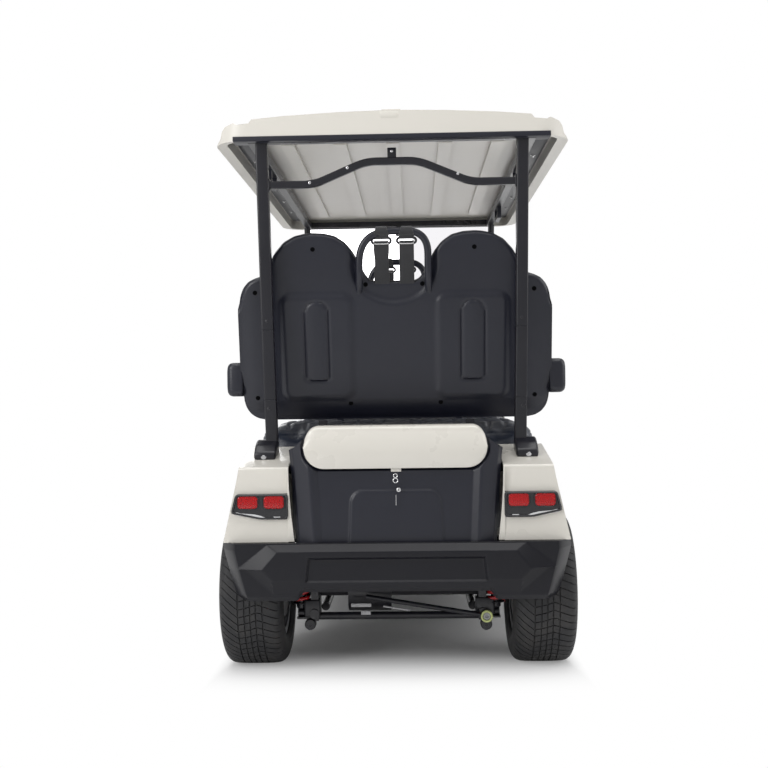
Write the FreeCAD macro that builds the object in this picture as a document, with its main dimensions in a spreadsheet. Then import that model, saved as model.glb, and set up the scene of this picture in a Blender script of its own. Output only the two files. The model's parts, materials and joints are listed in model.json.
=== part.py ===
import FreeCAD, Part
import math
import os
from FreeCAD import Placement, Rotation, Vector

# Lengths in millimetres: X to the right, Y forward, Z up, origin on the ground under the middle of the cart
sizes = {
    # Whole cart
    "wheelbase": 2280,
    "rear_overhang": 370,
    "front_overhang": 420,
    "fit_gap": 0.3,
    "panel_gap": 5,
    "cut_over": 20,
    # Tyres and rims
    "tyre_radius": 260,
    "tyre_width": 215,
    "tyre_shoulder": 34,
    "wheel_centre": 492.5,
    "rim_seat_radius": 152,
    "rim_lip_radius": 164,
    "rim_bore_radius": 140,
    "rim_width": 182,
    "rim_lip_width": 9,
    "rim_disc_offset": 38,
    "rim_disc_thickness": 16,
    "rim_dish": 24,
    "rim_hub_radius": 46,
    "rim_hub_length": 62,
    "rim_cap_radius": 30,
    "rim_cap_length": 14,
    "rim_window_inner": 66,
    "rim_window_outer": 122,
    "rim_window_half": 26,
    "spindle_radius": 14,
    "running_fit": 0.05,
    # Ladder frame
    "rail_centre": 210,
    "rail_width": 50,
    "rail_height": 60,
    "rail_base": 270,
    "rail_kick": 110,
    "rail_rear_end": 1514,
    "kick_rear_start": 350,
    "kick_ramp": 130,
    "cross_width": 50,
    "outrigger_end": 520,
    "outrigger_height": 30,
    "hoop_leg": 30,
    "hoop_top": 700,
    "hoop_rear_y": 1242,
    "hoop_front_y": 760,
    "hoop_end": 462,
    "tower_width": 40,
    "front_tower_top": 575,
    # Front suspension and steering
    "kingpin_x": 425,
    "kingpin_radius": 9,
    "knuckle_radius": 22,
    "knuckle_height": 84,
    "arm_tube_radius": 9.5,
    "arm_eye_radius": 19,
    "arm_eye_height": 20,
    "arm_pivot_spread": 95,
    "arm_pivot_radius": 16,
    "arm_pivot_length": 34,
    "steer_arm_reach": 110,
    "steer_arm_width": 22,
    "steer_arm_height": 16,
    "ball_radius": 11,
    "ball_pin_radius": 6,
    "tie_rod_radius": 8,
    "tie_rod_drop": 12,
    "front_shock_x": 330,
    "shock_top_gap": 12,
    "shock_rod_radius": 8,
    "shock_tube_radius": 17,
    "spring_radius": 29,
    "spring_wire": 5,
    "shock_eye_radius": 14,
    "rack_y": 1050,
    "rack_radius": 24,
    "rack_half": 150,
    "rack_rise": 32,
    # Rear axle and suspension
    "axle_tube_radius": 30,
    "axle_tube_end": 372,
    "drum_radius": 100,
    "drum_width": 60,
    "drum_start": 462,
    "diff_radius": 82,
    "diff_width": 150,
    "diff_centre_x": 100,
    "motor_radius": 84,
    "motor_length": 230,
    "motor_forward": 172,
    "motor_rise": 20,
    "cross_tube_radius": 13,
    "cross_tube_half": 290,
    "cross_tube_drop": 88,
    "cross_tube_back": 66,
    "axle_bracket_width": 26,
    "axle_bracket_depth": 50,
    "bush_radius": 21,
    "bush_length": 40,
    "panhard_radius": 9,
    "rear_shock_x": 338,
    "rear_shock_back": 74,
    "rear_shock_top": 425,
    "link_x": 262,
    "link_radius": 15,
    "link_front_y": 700,
    "battery_width": 500,
    "battery_length": 300,
    "battery_height": 215,
    # Floor and rockers
    "floor_top": 345,
    "floor_thickness": 8,
    "floor_half": 530,
    "floor_front": 640,
    "toe_front": 745,
    "toe_rise": 250,
    "mat_thickness": 5,
    "mat_margin": 35,
    "rocker_height": 105,
    "rocker_width": 56,
    "rocker_outer": 575,
    "rocker_corner": 20,
    "rocker_front": 778,
    "rocker_rear": 846,
    # Front cowl
    "panel_wall": 6,
    "cowl_half": 588,
    "cowl_rear": 748,
    "cowl_nose": 1522,
    "cowl_base": 300,
    "cowl_top": 962,
    "hood_front_top": 690,
    "arch_radius": 325,
    "arch_inner": 250,
    "front_bumper_top": 452,
    "front_bumper_base": 262,
    "front_bumper_half": 560,
    "front_bumper_depth": 84,
    "grille_half": 250,
    "grille_base": 470,
    "grille_top": 560,
    "grille_bar": 12,
    "head_lamp_inner": 300,
    "head_lamp_outer": 470,
    "head_lamp_base": 560,
    "head_lamp_top": 640,
    "head_lamp_depth": 60,
    # Dashboard
    "dash_half": 520,
    "dash_depth": 150,
    "dash_base": 610,
    "dash_top": 950,
    "dash_bin_half": 165,
    "dash_bin_height": 120,
    "dash_bin_depth": 95,
    "dash_bin_x": 290,
    "cup_radius": 42,
    "cup_depth": 70,
    "cup_x": 70,
    # Steering column, wheel and pedals
    "steer_x": 280,
    "steer_y": 560,
    "steer_z": 950,
    "steer_wheel_radius": 175,
    "steer_rim_radius": 14,
    "steer_hub_radius": 48,
    "steer_hub_height": 34,
    "steer_spoke_width": 36,
    "steer_spoke_height": 12,
    "steer_rim_rise": 26,
    "steer_shaft_radius": 11,
    "column_radius": 26,
    "column_gap": 8,
    "column_length": 330,
    "column_elbow": 345,
    "pinion_x": 110,
    "pedal_width": 62,
    "pedal_length": 120,
    "pedal_thickness": 14,
    "pedal_x": 210,
    "brake_x": 330,
    "pedal_z": 470,
    "pedal_reach": 58,
    # Rear body
    "fender_inner": 352,
    "fender_rear": 1478,
    "fender_crease_z": 708,
    "fender_top": 762,
    "fender_step_y": 1205,
    "seat_deck": 688,
    "fender_front": 600,
    "fender_top_x": 502,
    "fender_bottom_x": 566,
    "rear_arch_radius": 300,
    "box_half_top": 348,
    "box_half_base": 326,
    "box_rear": 1484,
    "box_front": 1262,
    "box_top": 796,
    "box_chamfer_x": 55,
    "box_chamfer_y": 26,
    "box_wall": 5,
    "box_floor": 8,
    "box_arch_top_half": 137,
    "box_arch_base_half": 155,
    "box_arch_top": 633,
    "box_arch_depth": 3,
    "box_arch_corner": 34,
    "lid_half": 296,
    "lid_base": 704,
    "lid_top": 845,
    "lid_corner": 64,
    "lid_rear": 1488,
    "lid_front": 1240,
    "lid_wall": 5,
    "lid_gap": 5,
    "lid_notch_half": 136,
    "lid_notch_depth": 5,
    "lid_tab_half": 32,
    "lid_tab_drop": 10,
    "hinge_radius": 6,
    "hinge_pin_radius": 3,
    "hinge_length": 60,
    "hinge_x": 200,
    # Rear bumper
    "bumper_top": 465,
    "bumper_base": 277,
    "bumper_half_top": 568,
    "bumper_half_base": 517,
    "bumper_depth": 90,
    "bumper_wall": 8,
    "bumper_corner_x": 150,
    "bumper_corner_y": 56,
    "bumper_skirt": 26,
    "bumper_skirt_in": 30,
    "plate_half": 292,
    "plate_base": 326,
    "plate_top": 437,
    "plate_depth": 12,
    "plate_hole_spacing": 177.8,
    "plate_hole_radius": 3.5,
    "plate_hole_z": 405,
    "plate_lamp_half": 46,
    "plate_lamp_height": 18,
    "plate_lamp_depth": 14,
    # Tail lamps
    "lamp_base": 540,
    "lamp_top": 623,
    "lamp_inner": 352,
    "lamp_outer_top": 517,
    "lamp_outer_mid": 540,
    "lamp_cut": 90,
    "lamp_depth": 46,
    "lamp_proud": 8,
    "lens_width": 66,
    "lens_height": 40,
    "lens_gap": 16,
    "lens_corner": 12,
    "lens_proud": 5,
    # Seats
    "row_pitch": 930,
    "rear_seat_front": 635,
    "seat_back_y": 1160,
    "cushion_half": 505,
    "cushion_top": 838,
    "cushion_round": 40,
    "cushion_gap": 8,
    "seat_base_half": 470,
    "seat_base_inset": 30,
    "back_bracket_x": 260,
    "back_bracket_width": 30,
    "back_bracket_depth": 18,
    "shell_half": 543,
    "shell_base": 855,
    "shell_height": 642,
    "shell_thickness": 24,
    "back_pad_thickness": 74,
    "back_pad_margin": 26,
    "back_pad_base": 60,
    "arm_rest_outer": 597,
    "arm_rest_width": 54,
    "arm_rest_base": 940,
    "arm_rest_height": 120,
    "arm_rest_length": 320,
    "arm_rest_thick": 52,
    "handle_half": 118,
    "handle_top": 662,
    "handle_foot": 440,
    "handle_radius": 12.5,
    "handle_corner": 45,
    "belt_width": 50,
    "belt_thickness": 2.5,
    "belt_x": 45,
    "retractor_width": 50,
    "retractor_height": 76,
    "retractor_depth": 44,
    # Roof
    "roof_half": 587,
    "roof_rear": 1400,
    "roof_front": 668,
    "roof_lip_z": 1796,
    "roof_edge_top": 1852,
    "roof_crown": 1889,
    "roof_corner": 110,
    "roof_recess_top": 1838,
    "roof_recess_half": 548,
    "roof_recess_margin": 25,
    "roof_rise": 14,
    "roof_rib_width": 46,
    "roof_rib_depth": 12,
    "roof_block_width": 62,
    "roof_block_length": 40,
    "roof_block_height": 7,
    "roof_rail_x": 470,
    "roof_rail_width": 30,
    "roof_rail_height": 34,
    "roof_bar_height": 28,
    "roof_bar_depth": 30,
    # Posts
    "post_x": 440,
    "post_width": 40,
    "post_foot_y": 1290,
    "post_top_y": 1352,
    "post_top_z": 1800,
    "foot_width": 62,
    "foot_height": 104,
    "foot_wall": 6,
    "brace_radius": 12.5,
    "brace_z": 1655,
    "brace_rise": 74,
    "brace_flat_half": 88,
    "brace_break_half": 265,
    "brace_tab_width": 40,
    "strut_radius": 16,
    "strut_x": 474,
    "strut_foot_y": 905,
    "strut_top_y": 572,
    "strut_bend": 60,
    "screen_half": 462,
    "screen_thickness": 5,
    "grip_length": 170,
    "grip_radius": 9,
    "grip_drop": 52,
}

# Angles in degrees and plain counts
angles = {
    "seat_back_lean": 10.6,
    "column_slope": 50,
    "pedal_slope": 55,
}
counts = {
    "rim_windows": 7,
    "roof_ribs": 5,
    "grille_bars": 4,
    "spring_coils": 5,
    "steer_rim_sides": 6,
}

# Outline of half a backrest shell: across, up and corner radius, as shares of its half width and height
shell_outline_shares = (
    (0.0, 0.752, 0.0),
    (0.16, 0.752, 0.05),
    (0.30, 1.0, 0.12),
    (0.70, 1.0, 0.17),
    (0.83, 0.765, 0.06),
    (1.0, 0.72, 0.10),
    (0.99, 0.0, 0.15),
    (0.0, 0.0, 0.0),
)

# Half section of the roof from rail to middle: across and up, as shares of half width and of edge-to-crown height
roof_top_shares = (
    (1.0, 0.0),
    (0.965, 0.17),
    (0.955, 0.42),
    (0.935, 0.56),
    (0.883, 0.66),
    (0.862, 0.585),
    (0.795, 0.62),
    (0.778, 0.76),
    (0.595, 0.86),
    (0.30, 0.955),
    (0.0, 1.0),
)

doc = FreeCAD.newDocument("GolfCart")
sheet = doc.addObject("Spreadsheet::Sheet", "Sizes")
nodes = {}


class Size:
    # A length with its number and the spreadsheet expression that gives it
    def __init__(self, value, text):
        self.value = float(value)
        self.text = text

    def __float__(self):
        return self.value

    def __add__(self, other):
        return joined(self, "+", other)

    def __radd__(self, other):
        return joined(other, "+", self)

    def __sub__(self, other):
        return joined(self, "-", other)

    def __rsub__(self, other):
        return joined(other, "-", self)

    def __mul__(self, other):
        return joined(self, "*", other)

    def __rmul__(self, other):
        return joined(other, "*", self)

    def __truediv__(self, other):
        return joined(self, "/", other)

    def __neg__(self):
        return joined(0, "-", self)


def as_size(item):
    if isinstance(item, Size):
        return item
    return Size(item, repr(float(item)))


def joined(left, sign, right):
    left = as_size(left)
    right = as_size(right)
    results = {
        "+": left.value + right.value,
        "-": left.value - right.value,
        "*": left.value * right.value,
        "/": left.value / right.value if right.value else 0.0,
    }
    return Size(results[sign], "(" + left.text + " " + sign + " " + right.text + ")")


class Named:
    pass


def fill_sheet():
    named = Named()
    rows = list(sizes.items()) + list(angles.items()) + list(counts.items())
    for row, (alias, value) in enumerate(rows, start=1):
        sheet.set("A" + str(row), alias)
        sheet.set("B" + str(row), str(value))
        sheet.setAlias("B" + str(row), alias)
        setattr(named, alias, Size(value, "Sizes." + alias))
    doc.recompute()
    return named


s = fill_sheet()
rear_axle_y = s.rear_overhang - (s.wheelbase + s.rear_overhang + s.front_overhang) / 2
front_axle_y = rear_axle_y + s.wheelbase
rear_face_y = rear_axle_y - s.rear_overhang
front_face_y = front_axle_y + s.front_overhang
axle_z = s.tyre_radius
fender_base = s.bumper_top + s.fit_gap
cushion_base = s.seat_deck + s.fit_gap
rail_front_end = front_face_y - s.panel_wall - s.cut_over * 0.2 - s.fit_gap
seat_back_lean = angles["seat_back_lean"]
column_slope = angles["column_slope"]


def point(x, y, z):
    return Vector(float(x), float(y), float(z))


def put(item, x, y, z, rotation=None):
    item.Placement = Placement(Vector(), rotation or Rotation())
    for axis, value in (("x", x), ("y", y), ("z", z)):
        item.setExpression("Placement.Base." + axis, as_size(value).text)
    return item


def block(low, high):
    item = doc.addObject("Part::Box", "Block")
    for side, start, end in zip(("Length", "Width", "Height"), low, high):
        item.setExpression(side, (as_size(end) - start).text)
    return put(item, *low)


turns = {
    "x": Rotation(Vector(0, 1, 0), 90),
    "y": Rotation(Vector(1, 0, 0), -90),
    "z": Rotation(),
}


def rod(axis, start, radius, length):
    item = doc.addObject("Part::Cylinder", "Rod")
    item.setExpression("Radius", as_size(radius).text)
    item.setExpression("Height", as_size(length).text)
    return put(item, *start, turns[axis])


def bar(start, end, radius):
    # A round bar between any two points
    run = point(*end) - point(*start)
    item = doc.addObject("Part::Cylinder", "Bar")
    item.setExpression("Radius", as_size(radius).text)
    item.Height = run.Length
    return put(item, *start, Rotation(Vector(0, 0, 1), run))


def ball(centre, radius):
    item = doc.addObject("Part::Sphere", "Ball")
    item.setExpression("Radius", as_size(radius).text)
    return put(item, *centre)


def cut(base, *tools):
    for tool in tools:
        item = doc.addObject("Part::Cut", "Cut")
        item.Base = base
        item.Tool = tool
        base = item
    return base


def fuse(*items):
    item = doc.addObject("Part::MultiFuse", "Fuse")
    item.Shapes = list(items)
    item.Refine = True
    return item


def common(*items):
    item = doc.addObject("Part::MultiCommon", "Common")
    item.Shapes = list(items)
    return item


def group(*items):
    item = doc.addObject("Part::Compound", "Group")
    item.Links = list(items)
    return item


def mirrored(source):
    item = doc.addObject("Part::Mirroring", "Mirror")
    item.Source = source
    item.Normal = Vector(1, 0, 0)
    return item


def both_sides(source):
    return (source, mirrored(source))


def moved(source, x, y, z, rotation=None):
    item = doc.addObject("Part::Compound", "Moved")
    item.Links = [source]
    return put(item, x, y, z, rotation)


def corner_points(before, corner, after, radius):
    # Start, middle and end of the arc that rounds one corner, or none where it stays sharp
    to_before = (before - corner).normalize()
    to_after = (after - corner).normalize()
    half = to_before.getAngle(to_after) / 2
    if radius <= 0 or half < 0.01 or half > math.pi / 2 - 0.01:
        return None
    reach = radius / math.tan(half)
    start = corner + to_before * reach
    end = corner + to_after * reach
    middle_way = (to_before + to_after).normalize()
    middle = corner + middle_way * (radius / math.sin(half) - radius)
    return start, middle, end


def rounded_edges(corners, closed=True):
    # Lines and arcs through corners, each corner a point and its radius
    total = len(corners)
    edges = []
    first = None
    last = None
    for index, (corner, radius) in enumerate(corners):
        inside = closed or 0 < index < total - 1
        arc = None
        if inside:
            before = corners[index - 1][0]
            after = corners[(index + 1) % total][0]
            arc = corner_points(before, corner, after, radius)
        enter = arc[0] if arc else corner
        leave = arc[2] if arc else corner
        if last is None:
            first = enter
        elif (enter - last).Length > 1e-6:
            edges.append(Part.LineSegment(last, enter))
        if arc:
            edges.append(Part.Arc(*arc))
        last = leave
    if closed and (first - last).Length > 1e-6:
        edges.append(Part.LineSegment(last, first))
    return edges


def flat_corners(outline):
    corners = []
    for across, along, *radius in outline:
        corners.append((point(across, along, 0), float(radius[0]) if radius else 0.0))
    return corners


def mirror_outline(half):
    # A half outline that starts and ends on the middle line, closed by its mirror image
    other = [(-as_size(across), along, *radius) for across, along, *radius in reversed(half)]
    return list(half) + [corner for corner in other if abs(float(corner[0])) > 1e-6]


plane_roles = {"top": "XY_Plane", "rear": "XZ_Plane", "side": "YZ_Plane"}


def sketch_on(body, plane, outlines, offset=None):
    sketch = body.newObject("Sketcher::SketchObject", "Sketch")
    role = plane_roles[plane]
    support = [item for item in body.Origin.OriginFeatures if item.Role == role][0]
    sketch.AttachmentSupport = [(support, "")]
    sketch.MapMode = "FlatFace"
    if offset is not None:
        sketch.setExpression("AttachmentOffset.Base.z", as_size(offset).text)
    for outline in outlines:
        sketch.addGeometry(rounded_edges(flat_corners(outline)), False)
    return sketch


def extruded(plane, start, length, *outlines):
    # A padded body: from above (x, y), from the rear (x, z) or from the side (y, z)
    body = doc.addObject("PartDesign::Body", "Body")
    toward_rear = plane == "rear"
    offset = -as_size(start) if toward_rear else start
    sketch = sketch_on(body, plane, outlines, offset)
    pad = body.newObject("PartDesign::Pad", "Pad")
    pad.Profile = sketch
    pad.setExpression("Length", as_size(length).text)
    pad.Reversed = toward_rear
    return body


def revolved(outline, x, y, z, rotation=None):
    # A body turned about X, its outline given as (x, radius)
    body = doc.addObject("PartDesign::Body", "Body")
    sketch = sketch_on(body, "rear", [outline])
    turn = body.newObject("PartDesign::Revolution", "Revolution")
    turn.Profile = sketch
    turn.ReferenceAxis = (sketch, ["H_Axis"])
    turn.Angle = 360
    return put(body, x, y, z, rotation)


def tube(points, bend, radius):
    # A round tube along straight runs joined by arcs
    corners = [(point(*place), float(bend)) for place in points]
    path = doc.addObject("Part::Feature", "Path")
    path.Shape = Part.Wire([edge.toShape() for edge in rounded_edges(corners, closed=False)])
    start = corners[0][0]
    run = corners[1][0] - start
    section = doc.addObject("Part::Circle", "Section")
    section.setExpression("Radius", as_size(radius).text)
    section.Placement = Placement(start, Rotation(Vector(0, 0, 1), run))
    sweep = doc.addObject("Part::Sweep", "Tube")
    sweep.Sections = [section]
    names = ["Edge" + str(number + 1) for number in range(len(path.Shape.Edges))]
    sweep.Spine = (path, names)
    sweep.Solid = True
    return sweep


def inset(outline, wall):
    # The same outline moved inward by a wall, its arcs kept concentric
    corners = [(float(item[0]), float(item[1])) for item in outline]
    total = len(corners)
    area = sum(corners[i - 1][0] * corners[i][1] - corners[i][0] * corners[i - 1][1] for i in range(total))
    side = 1.0 if area > 0 else -1.0
    moved_lines = []
    for index in range(total):
        start = Vector(*corners[index], 0)
        end = Vector(*corners[(index + 1) % total], 0)
        along = (end - start).normalize()
        inward = Vector(-along.y, along.x, 0) * side
        moved_lines.append((start + inward * float(wall), along))
    result = []
    for index, item in enumerate(outline):
        before, before_way = moved_lines[index - 1]
        after, after_way = moved_lines[index]
        turn = before_way.x * after_way.y - before_way.y * after_way.x
        gap = after - before
        in_line = abs(turn) < 1e-6
        spot = after if in_line else before + before_way * ((gap.x * after_way.y - gap.y * after_way.x) / turn)
        radius = float(item[2]) if len(item) > 2 else 0.0
        outward_corner = turn * side > 0
        radius = max(radius - float(wall), 0.0) if outward_corner else radius + float(wall) * (radius > 0)
        result.append((spot.x, spot.y, radius))
    return result


def node(label, item):
    item.Label = label
    nodes[label] = item
    return item


def make_tyre(side, y):
    half = s.tyre_width / 2
    seat = s.rim_seat_radius + s.fit_gap
    lip = s.rim_lip_radius + s.fit_gap
    bead = s.rim_width / 2 - s.rim_lip_width - s.fit_gap
    outline = (
        (-bead, seat),
        (bead, seat),
        (bead, lip),
        (half, s.tyre_radius - s.tyre_shoulder),
        (half - s.tyre_shoulder / 2, s.tyre_radius),
        (s.tyre_shoulder / 2 - half, s.tyre_radius),
        (-half, s.tyre_radius - s.tyre_shoulder),
        (-bead, lip),
    )
    return revolved(outline, side * s.wheel_centre, y, axle_z)


def make_rim(side, y, bore):
    # A dished disc with windows between the spokes, in a barrel with lips
    body = doc.addObject("PartDesign::Body", "Body")
    half = s.rim_width / 2
    seat = s.rim_seat_radius
    inner = s.rim_bore_radius
    disc = s.rim_disc_offset
    outline = (
        (half, inner),
        (half, s.rim_lip_radius),
        (half - s.rim_lip_width, s.rim_lip_radius),
        (half - s.rim_lip_width, seat),
        (s.rim_lip_width - half, seat),
        (s.rim_lip_width - half, s.rim_lip_radius),
        (-half, s.rim_lip_radius),
        (-half, inner),
        (disc - s.rim_disc_thickness, inner),
        (disc - s.rim_disc_thickness - s.rim_dish, s.rim_hub_radius),
        (disc - s.rim_hub_length, s.rim_hub_radius),
        (disc - s.rim_hub_length, bore),
        (disc - s.rim_cap_length, bore),
        (disc - s.rim_cap_length, 0),
        (disc + s.rim_cap_length - s.rim_dish, 0),
        (disc + s.rim_cap_length - s.rim_dish, s.rim_cap_radius),
        (disc - s.rim_dish, s.rim_cap_radius),
        (disc - s.rim_dish, s.rim_hub_radius),
        (disc, inner - s.rim_lip_width),
        (disc, inner),
    )
    sketch = sketch_on(body, "rear", [outline])
    turn = body.newObject("PartDesign::Revolution", "Revolution")
    turn.Profile = sketch
    turn.ReferenceAxis = (sketch, ["H_Axis"])
    turn.Angle = 360
    narrow = s.rim_window_half * 0.62
    window = (
        (-narrow, s.rim_window_inner),
        (narrow, s.rim_window_inner),
        (s.rim_window_half, s.rim_window_outer),
        (-s.rim_window_half, s.rim_window_outer),
    )
    hole = sketch_on(body, "side", [window], disc + s.cut_over)
    doc.recompute()
    pocket = body.newObject("PartDesign::Pocket", "Pocket")
    pocket.Profile = hole
    pocket.Length = float(s.rim_hub_length + s.cut_over)
    pattern = body.newObject("PartDesign::PolarPattern", "Pattern")
    pattern.Originals = [pocket]
    pattern.Axis = (sketch, ["H_Axis"])
    pattern.Angle = 360
    pattern.Occurrences = counts["rim_windows"]
    body.Tip = pattern
    facing = Rotation() if side > 0 else Rotation(Vector(0, 0, 1), 180)
    return put(body, side * s.wheel_centre, y, axle_z, facing)


def make_wheels():
    bore = s.spindle_radius + s.running_fit
    for name, side in (("left", -1), ("right", 1)):
        for end, y in (("front", front_axle_y), ("rear", rear_axle_y)):
            node("tyre_" + end + "_" + name, make_tyre(side, y))
            node("rim_" + end + "_" + name, make_rim(side, y, bore))


def rail_outline():
    top = s.rail_base + s.rail_height
    kick_y = rear_axle_y + s.kick_rear_start
    flat_y = kick_y + s.kick_ramp
    return (
        (-s.rail_rear_end, s.rail_base + s.rail_kick),
        (kick_y, s.rail_base + s.rail_kick),
        (flat_y, s.rail_base),
        (rail_front_end, s.rail_base),
        (rail_front_end, top),
        (flat_y, top),
        (kick_y, top + s.rail_kick),
        (-s.rail_rear_end, top + s.rail_kick),
    )


def cross_member(y, base, half):
    low = (-half, y - s.cross_width / 2, base)
    return block(low, (half, y + s.cross_width / 2, base + s.outrigger_height))


def shell_foot_z():
    # Just under the rear edge of a leaning backrest shell
    return s.shell_base - s.shell_thickness * math.sin(math.radians(seat_back_lean)) - s.fit_gap


def make_frame():
    inner = s.rail_centre - s.rail_width / 2
    outer = s.rail_centre + s.rail_width / 2
    rail = extruded("side", inner, s.rail_width, rail_outline())
    rail_top = s.rail_base + s.rail_height
    floor_base = rail_top - s.outrigger_height - s.floor_thickness
    kicked = s.rail_base + s.rail_kick
    inset_half = inner + s.rail_width / 2
    rear, front = seat_base_span(s.row_pitch)
    pieces = list(both_sides(rail))
    for y in (s.cross_width / 2 - s.rail_rear_end, -s.hoop_rear_y):
        pieces.append(cross_member(y, kicked, inset_half))
    for y in (-s.fender_front, rear + s.seat_base_inset, front - s.seat_base_inset, s.floor_front - s.cross_width):
        pieces.append(cross_member(y, floor_base, s.outrigger_end))
    for y in (s.rack_y, rail_front_end - s.cross_width / 2):
        pieces.append(cross_member(y, rail_top - s.outrigger_height, inset_half))
    leg_half = s.hoop_leg / 2
    deck_under = s.seat_deck - s.panel_wall - s.fit_gap
    for y, top, half in ((s.hoop_rear_y, s.hoop_top, s.hoop_end),
                         (s.hoop_front_y, deck_under, s.rail_centre + leg_half)):
        leg = block((s.rail_centre - leg_half, -y, rail_top), (s.rail_centre + leg_half, s.hoop_leg - y, top - leg_half))
        pieces += both_sides(leg)
        pieces.append(block((-half, -y, top - s.hoop_leg), (half, s.hoop_leg - y, top)))
    shell_foot = shell_foot_z()
    step_y = -s.seat_back_y - s.back_bracket_depth - s.fit_gap * 2
    low_x = s.back_bracket_x - s.back_bracket_width / 2
    high_x = s.back_bracket_x + s.back_bracket_width / 2
    for low, high in (((low_x, -s.hoop_rear_y, s.hoop_top - s.foot_wall), (high_x, step_y + s.back_bracket_depth, s.hoop_top)),
                      ((low_x, step_y, s.hoop_top - s.foot_wall), (high_x, step_y + s.back_bracket_depth, shell_foot))):
        pieces += both_sides(block(low, high))
    low_y = front_axle_y - s.tower_width / 2
    tower = block((inner, low_y, floor_base), (outer, low_y + s.tower_width, s.front_tower_top + s.shock_eye_radius))
    boss = rod("x", (outer - s.cut_over, front_axle_y, s.front_tower_top), s.shock_rod_radius, s.cut_over + s.shock_top_gap)
    shock_y = rear_axle_y - s.rear_shock_back
    perch_base = s.rear_shock_top + s.shock_eye_radius + s.fit_gap
    perch = block((inner, shock_y - s.tower_width / 2, perch_base),
                  (s.rear_shock_x + s.shock_eye_radius, shock_y + s.tower_width / 2, perch_base + s.foot_wall))
    for piece in (tower, boss, perch):
        pieces += both_sides(piece)
    node("frame", fuse(*pieces))


def make_arm(side, z, has_seat):
    # One wishbone: two tubes from the frame pivots to the eye round the kingpin
    outer = s.rail_centre + s.rail_width / 2 + s.fit_gap
    eye = rod("z", (side * s.kingpin_x, front_axle_y, z - s.arm_eye_height / 2), s.arm_eye_radius, s.arm_eye_height)
    pieces = [eye]
    pivot_x = side * (outer + s.arm_pivot_radius)
    for way in (-1, 1):
        pivot_y = front_axle_y + way * s.arm_pivot_spread
        start = (pivot_x, pivot_y - s.arm_pivot_length / 2, z)
        pieces.append(rod("y", start, s.arm_pivot_radius, s.arm_pivot_length))
        pieces.append(bar((pivot_x, pivot_y, z), (side * (s.kingpin_x - s.arm_eye_radius / 2), front_axle_y, z),
                          s.arm_tube_radius))
    if has_seat:
        half = s.shock_eye_radius
        reach = s.arm_pivot_spread / 2
        seat_x = side * s.front_shock_x
        pieces.append(block((seat_x - half, front_axle_y - reach, z), (seat_x + half, front_axle_y + reach,
                                                                      z + s.arm_tube_radius)))
    pin_space = rod("z", (side * s.kingpin_x, front_axle_y, z - s.arm_eye_height), s.kingpin_radius + s.running_fit,
                    s.arm_eye_height * 2)
    return cut(fuse(*pieces), pin_space)


def arm_levels():
    rise = s.knuckle_height / 2 + s.arm_eye_height / 2 + s.fit_gap
    return axle_z - rise, axle_z + rise


def make_front_arms():
    lower, upper = arm_levels()
    pieces = []
    for side in (-1, 1):
        pieces.append(make_arm(side, lower, True))
        pieces.append(make_arm(side, upper, False))
    node("front_wishbones", group(*pieces))


def make_knuckle(name, side):
    lower, upper = arm_levels()
    x = side * s.kingpin_x
    pin_base = lower - s.arm_eye_height / 2
    barrel = rod("z", (x, front_axle_y, axle_z - s.knuckle_height / 2), s.knuckle_radius, s.knuckle_height)
    pin = rod("z", (x, front_axle_y, pin_base), s.kingpin_radius, upper - lower + s.arm_eye_height)
    disc_x = s.wheel_centre + s.rim_disc_offset
    spindle_end = disc_x - s.rim_cap_length - s.panel_gap
    spindle_low = s.kingpin_x if side > 0 else -spindle_end
    spindle = rod("x", (spindle_low, front_axle_y, axle_z), s.spindle_radius, spindle_end - s.kingpin_x)
    arm_low_y = front_axle_y - s.steer_arm_reach - s.steer_arm_width / 2
    arm = block((x - s.steer_arm_width / 2, arm_low_y, axle_z - s.steer_arm_height / 2),
                (x + s.steer_arm_width / 2, front_axle_y, axle_z + s.steer_arm_height / 2))
    pin_top = axle_z
    ball_z = axle_z - s.tie_rod_drop - s.steer_arm_height / 2
    stud = rod("z", (x, front_axle_y - s.steer_arm_reach, ball_z - s.ball_radius / 2), s.ball_pin_radius,
               pin_top - ball_z + s.ball_radius / 2)
    node("knuckle_" + name, fuse(barrel, pin, spindle, arm, stud))


def tie_rod_z():
    return axle_z - s.tie_rod_drop - s.steer_arm_height / 2


def make_tie_rod():
    y = front_axle_y - s.steer_arm_reach
    z = tie_rod_z()
    pieces = [rod("x", (-s.kingpin_x, y, z), s.tie_rod_radius, s.kingpin_x * 2)]
    holes = []
    for side, clearance in ((-1, s.running_fit), (1, s.fit_gap)):
        start = (side * s.kingpin_x, y, z - s.ball_radius)
        pieces.append(rod("z", start, s.ball_radius + s.ball_pin_radius, s.ball_radius * 2))
        low = (side * s.kingpin_x, y, z - s.ball_radius * 2)
        holes.append(rod("z", low, s.ball_pin_radius + clearance, s.ball_radius * 4))
    node("tie_rod", cut(fuse(*pieces), *holes))


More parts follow.
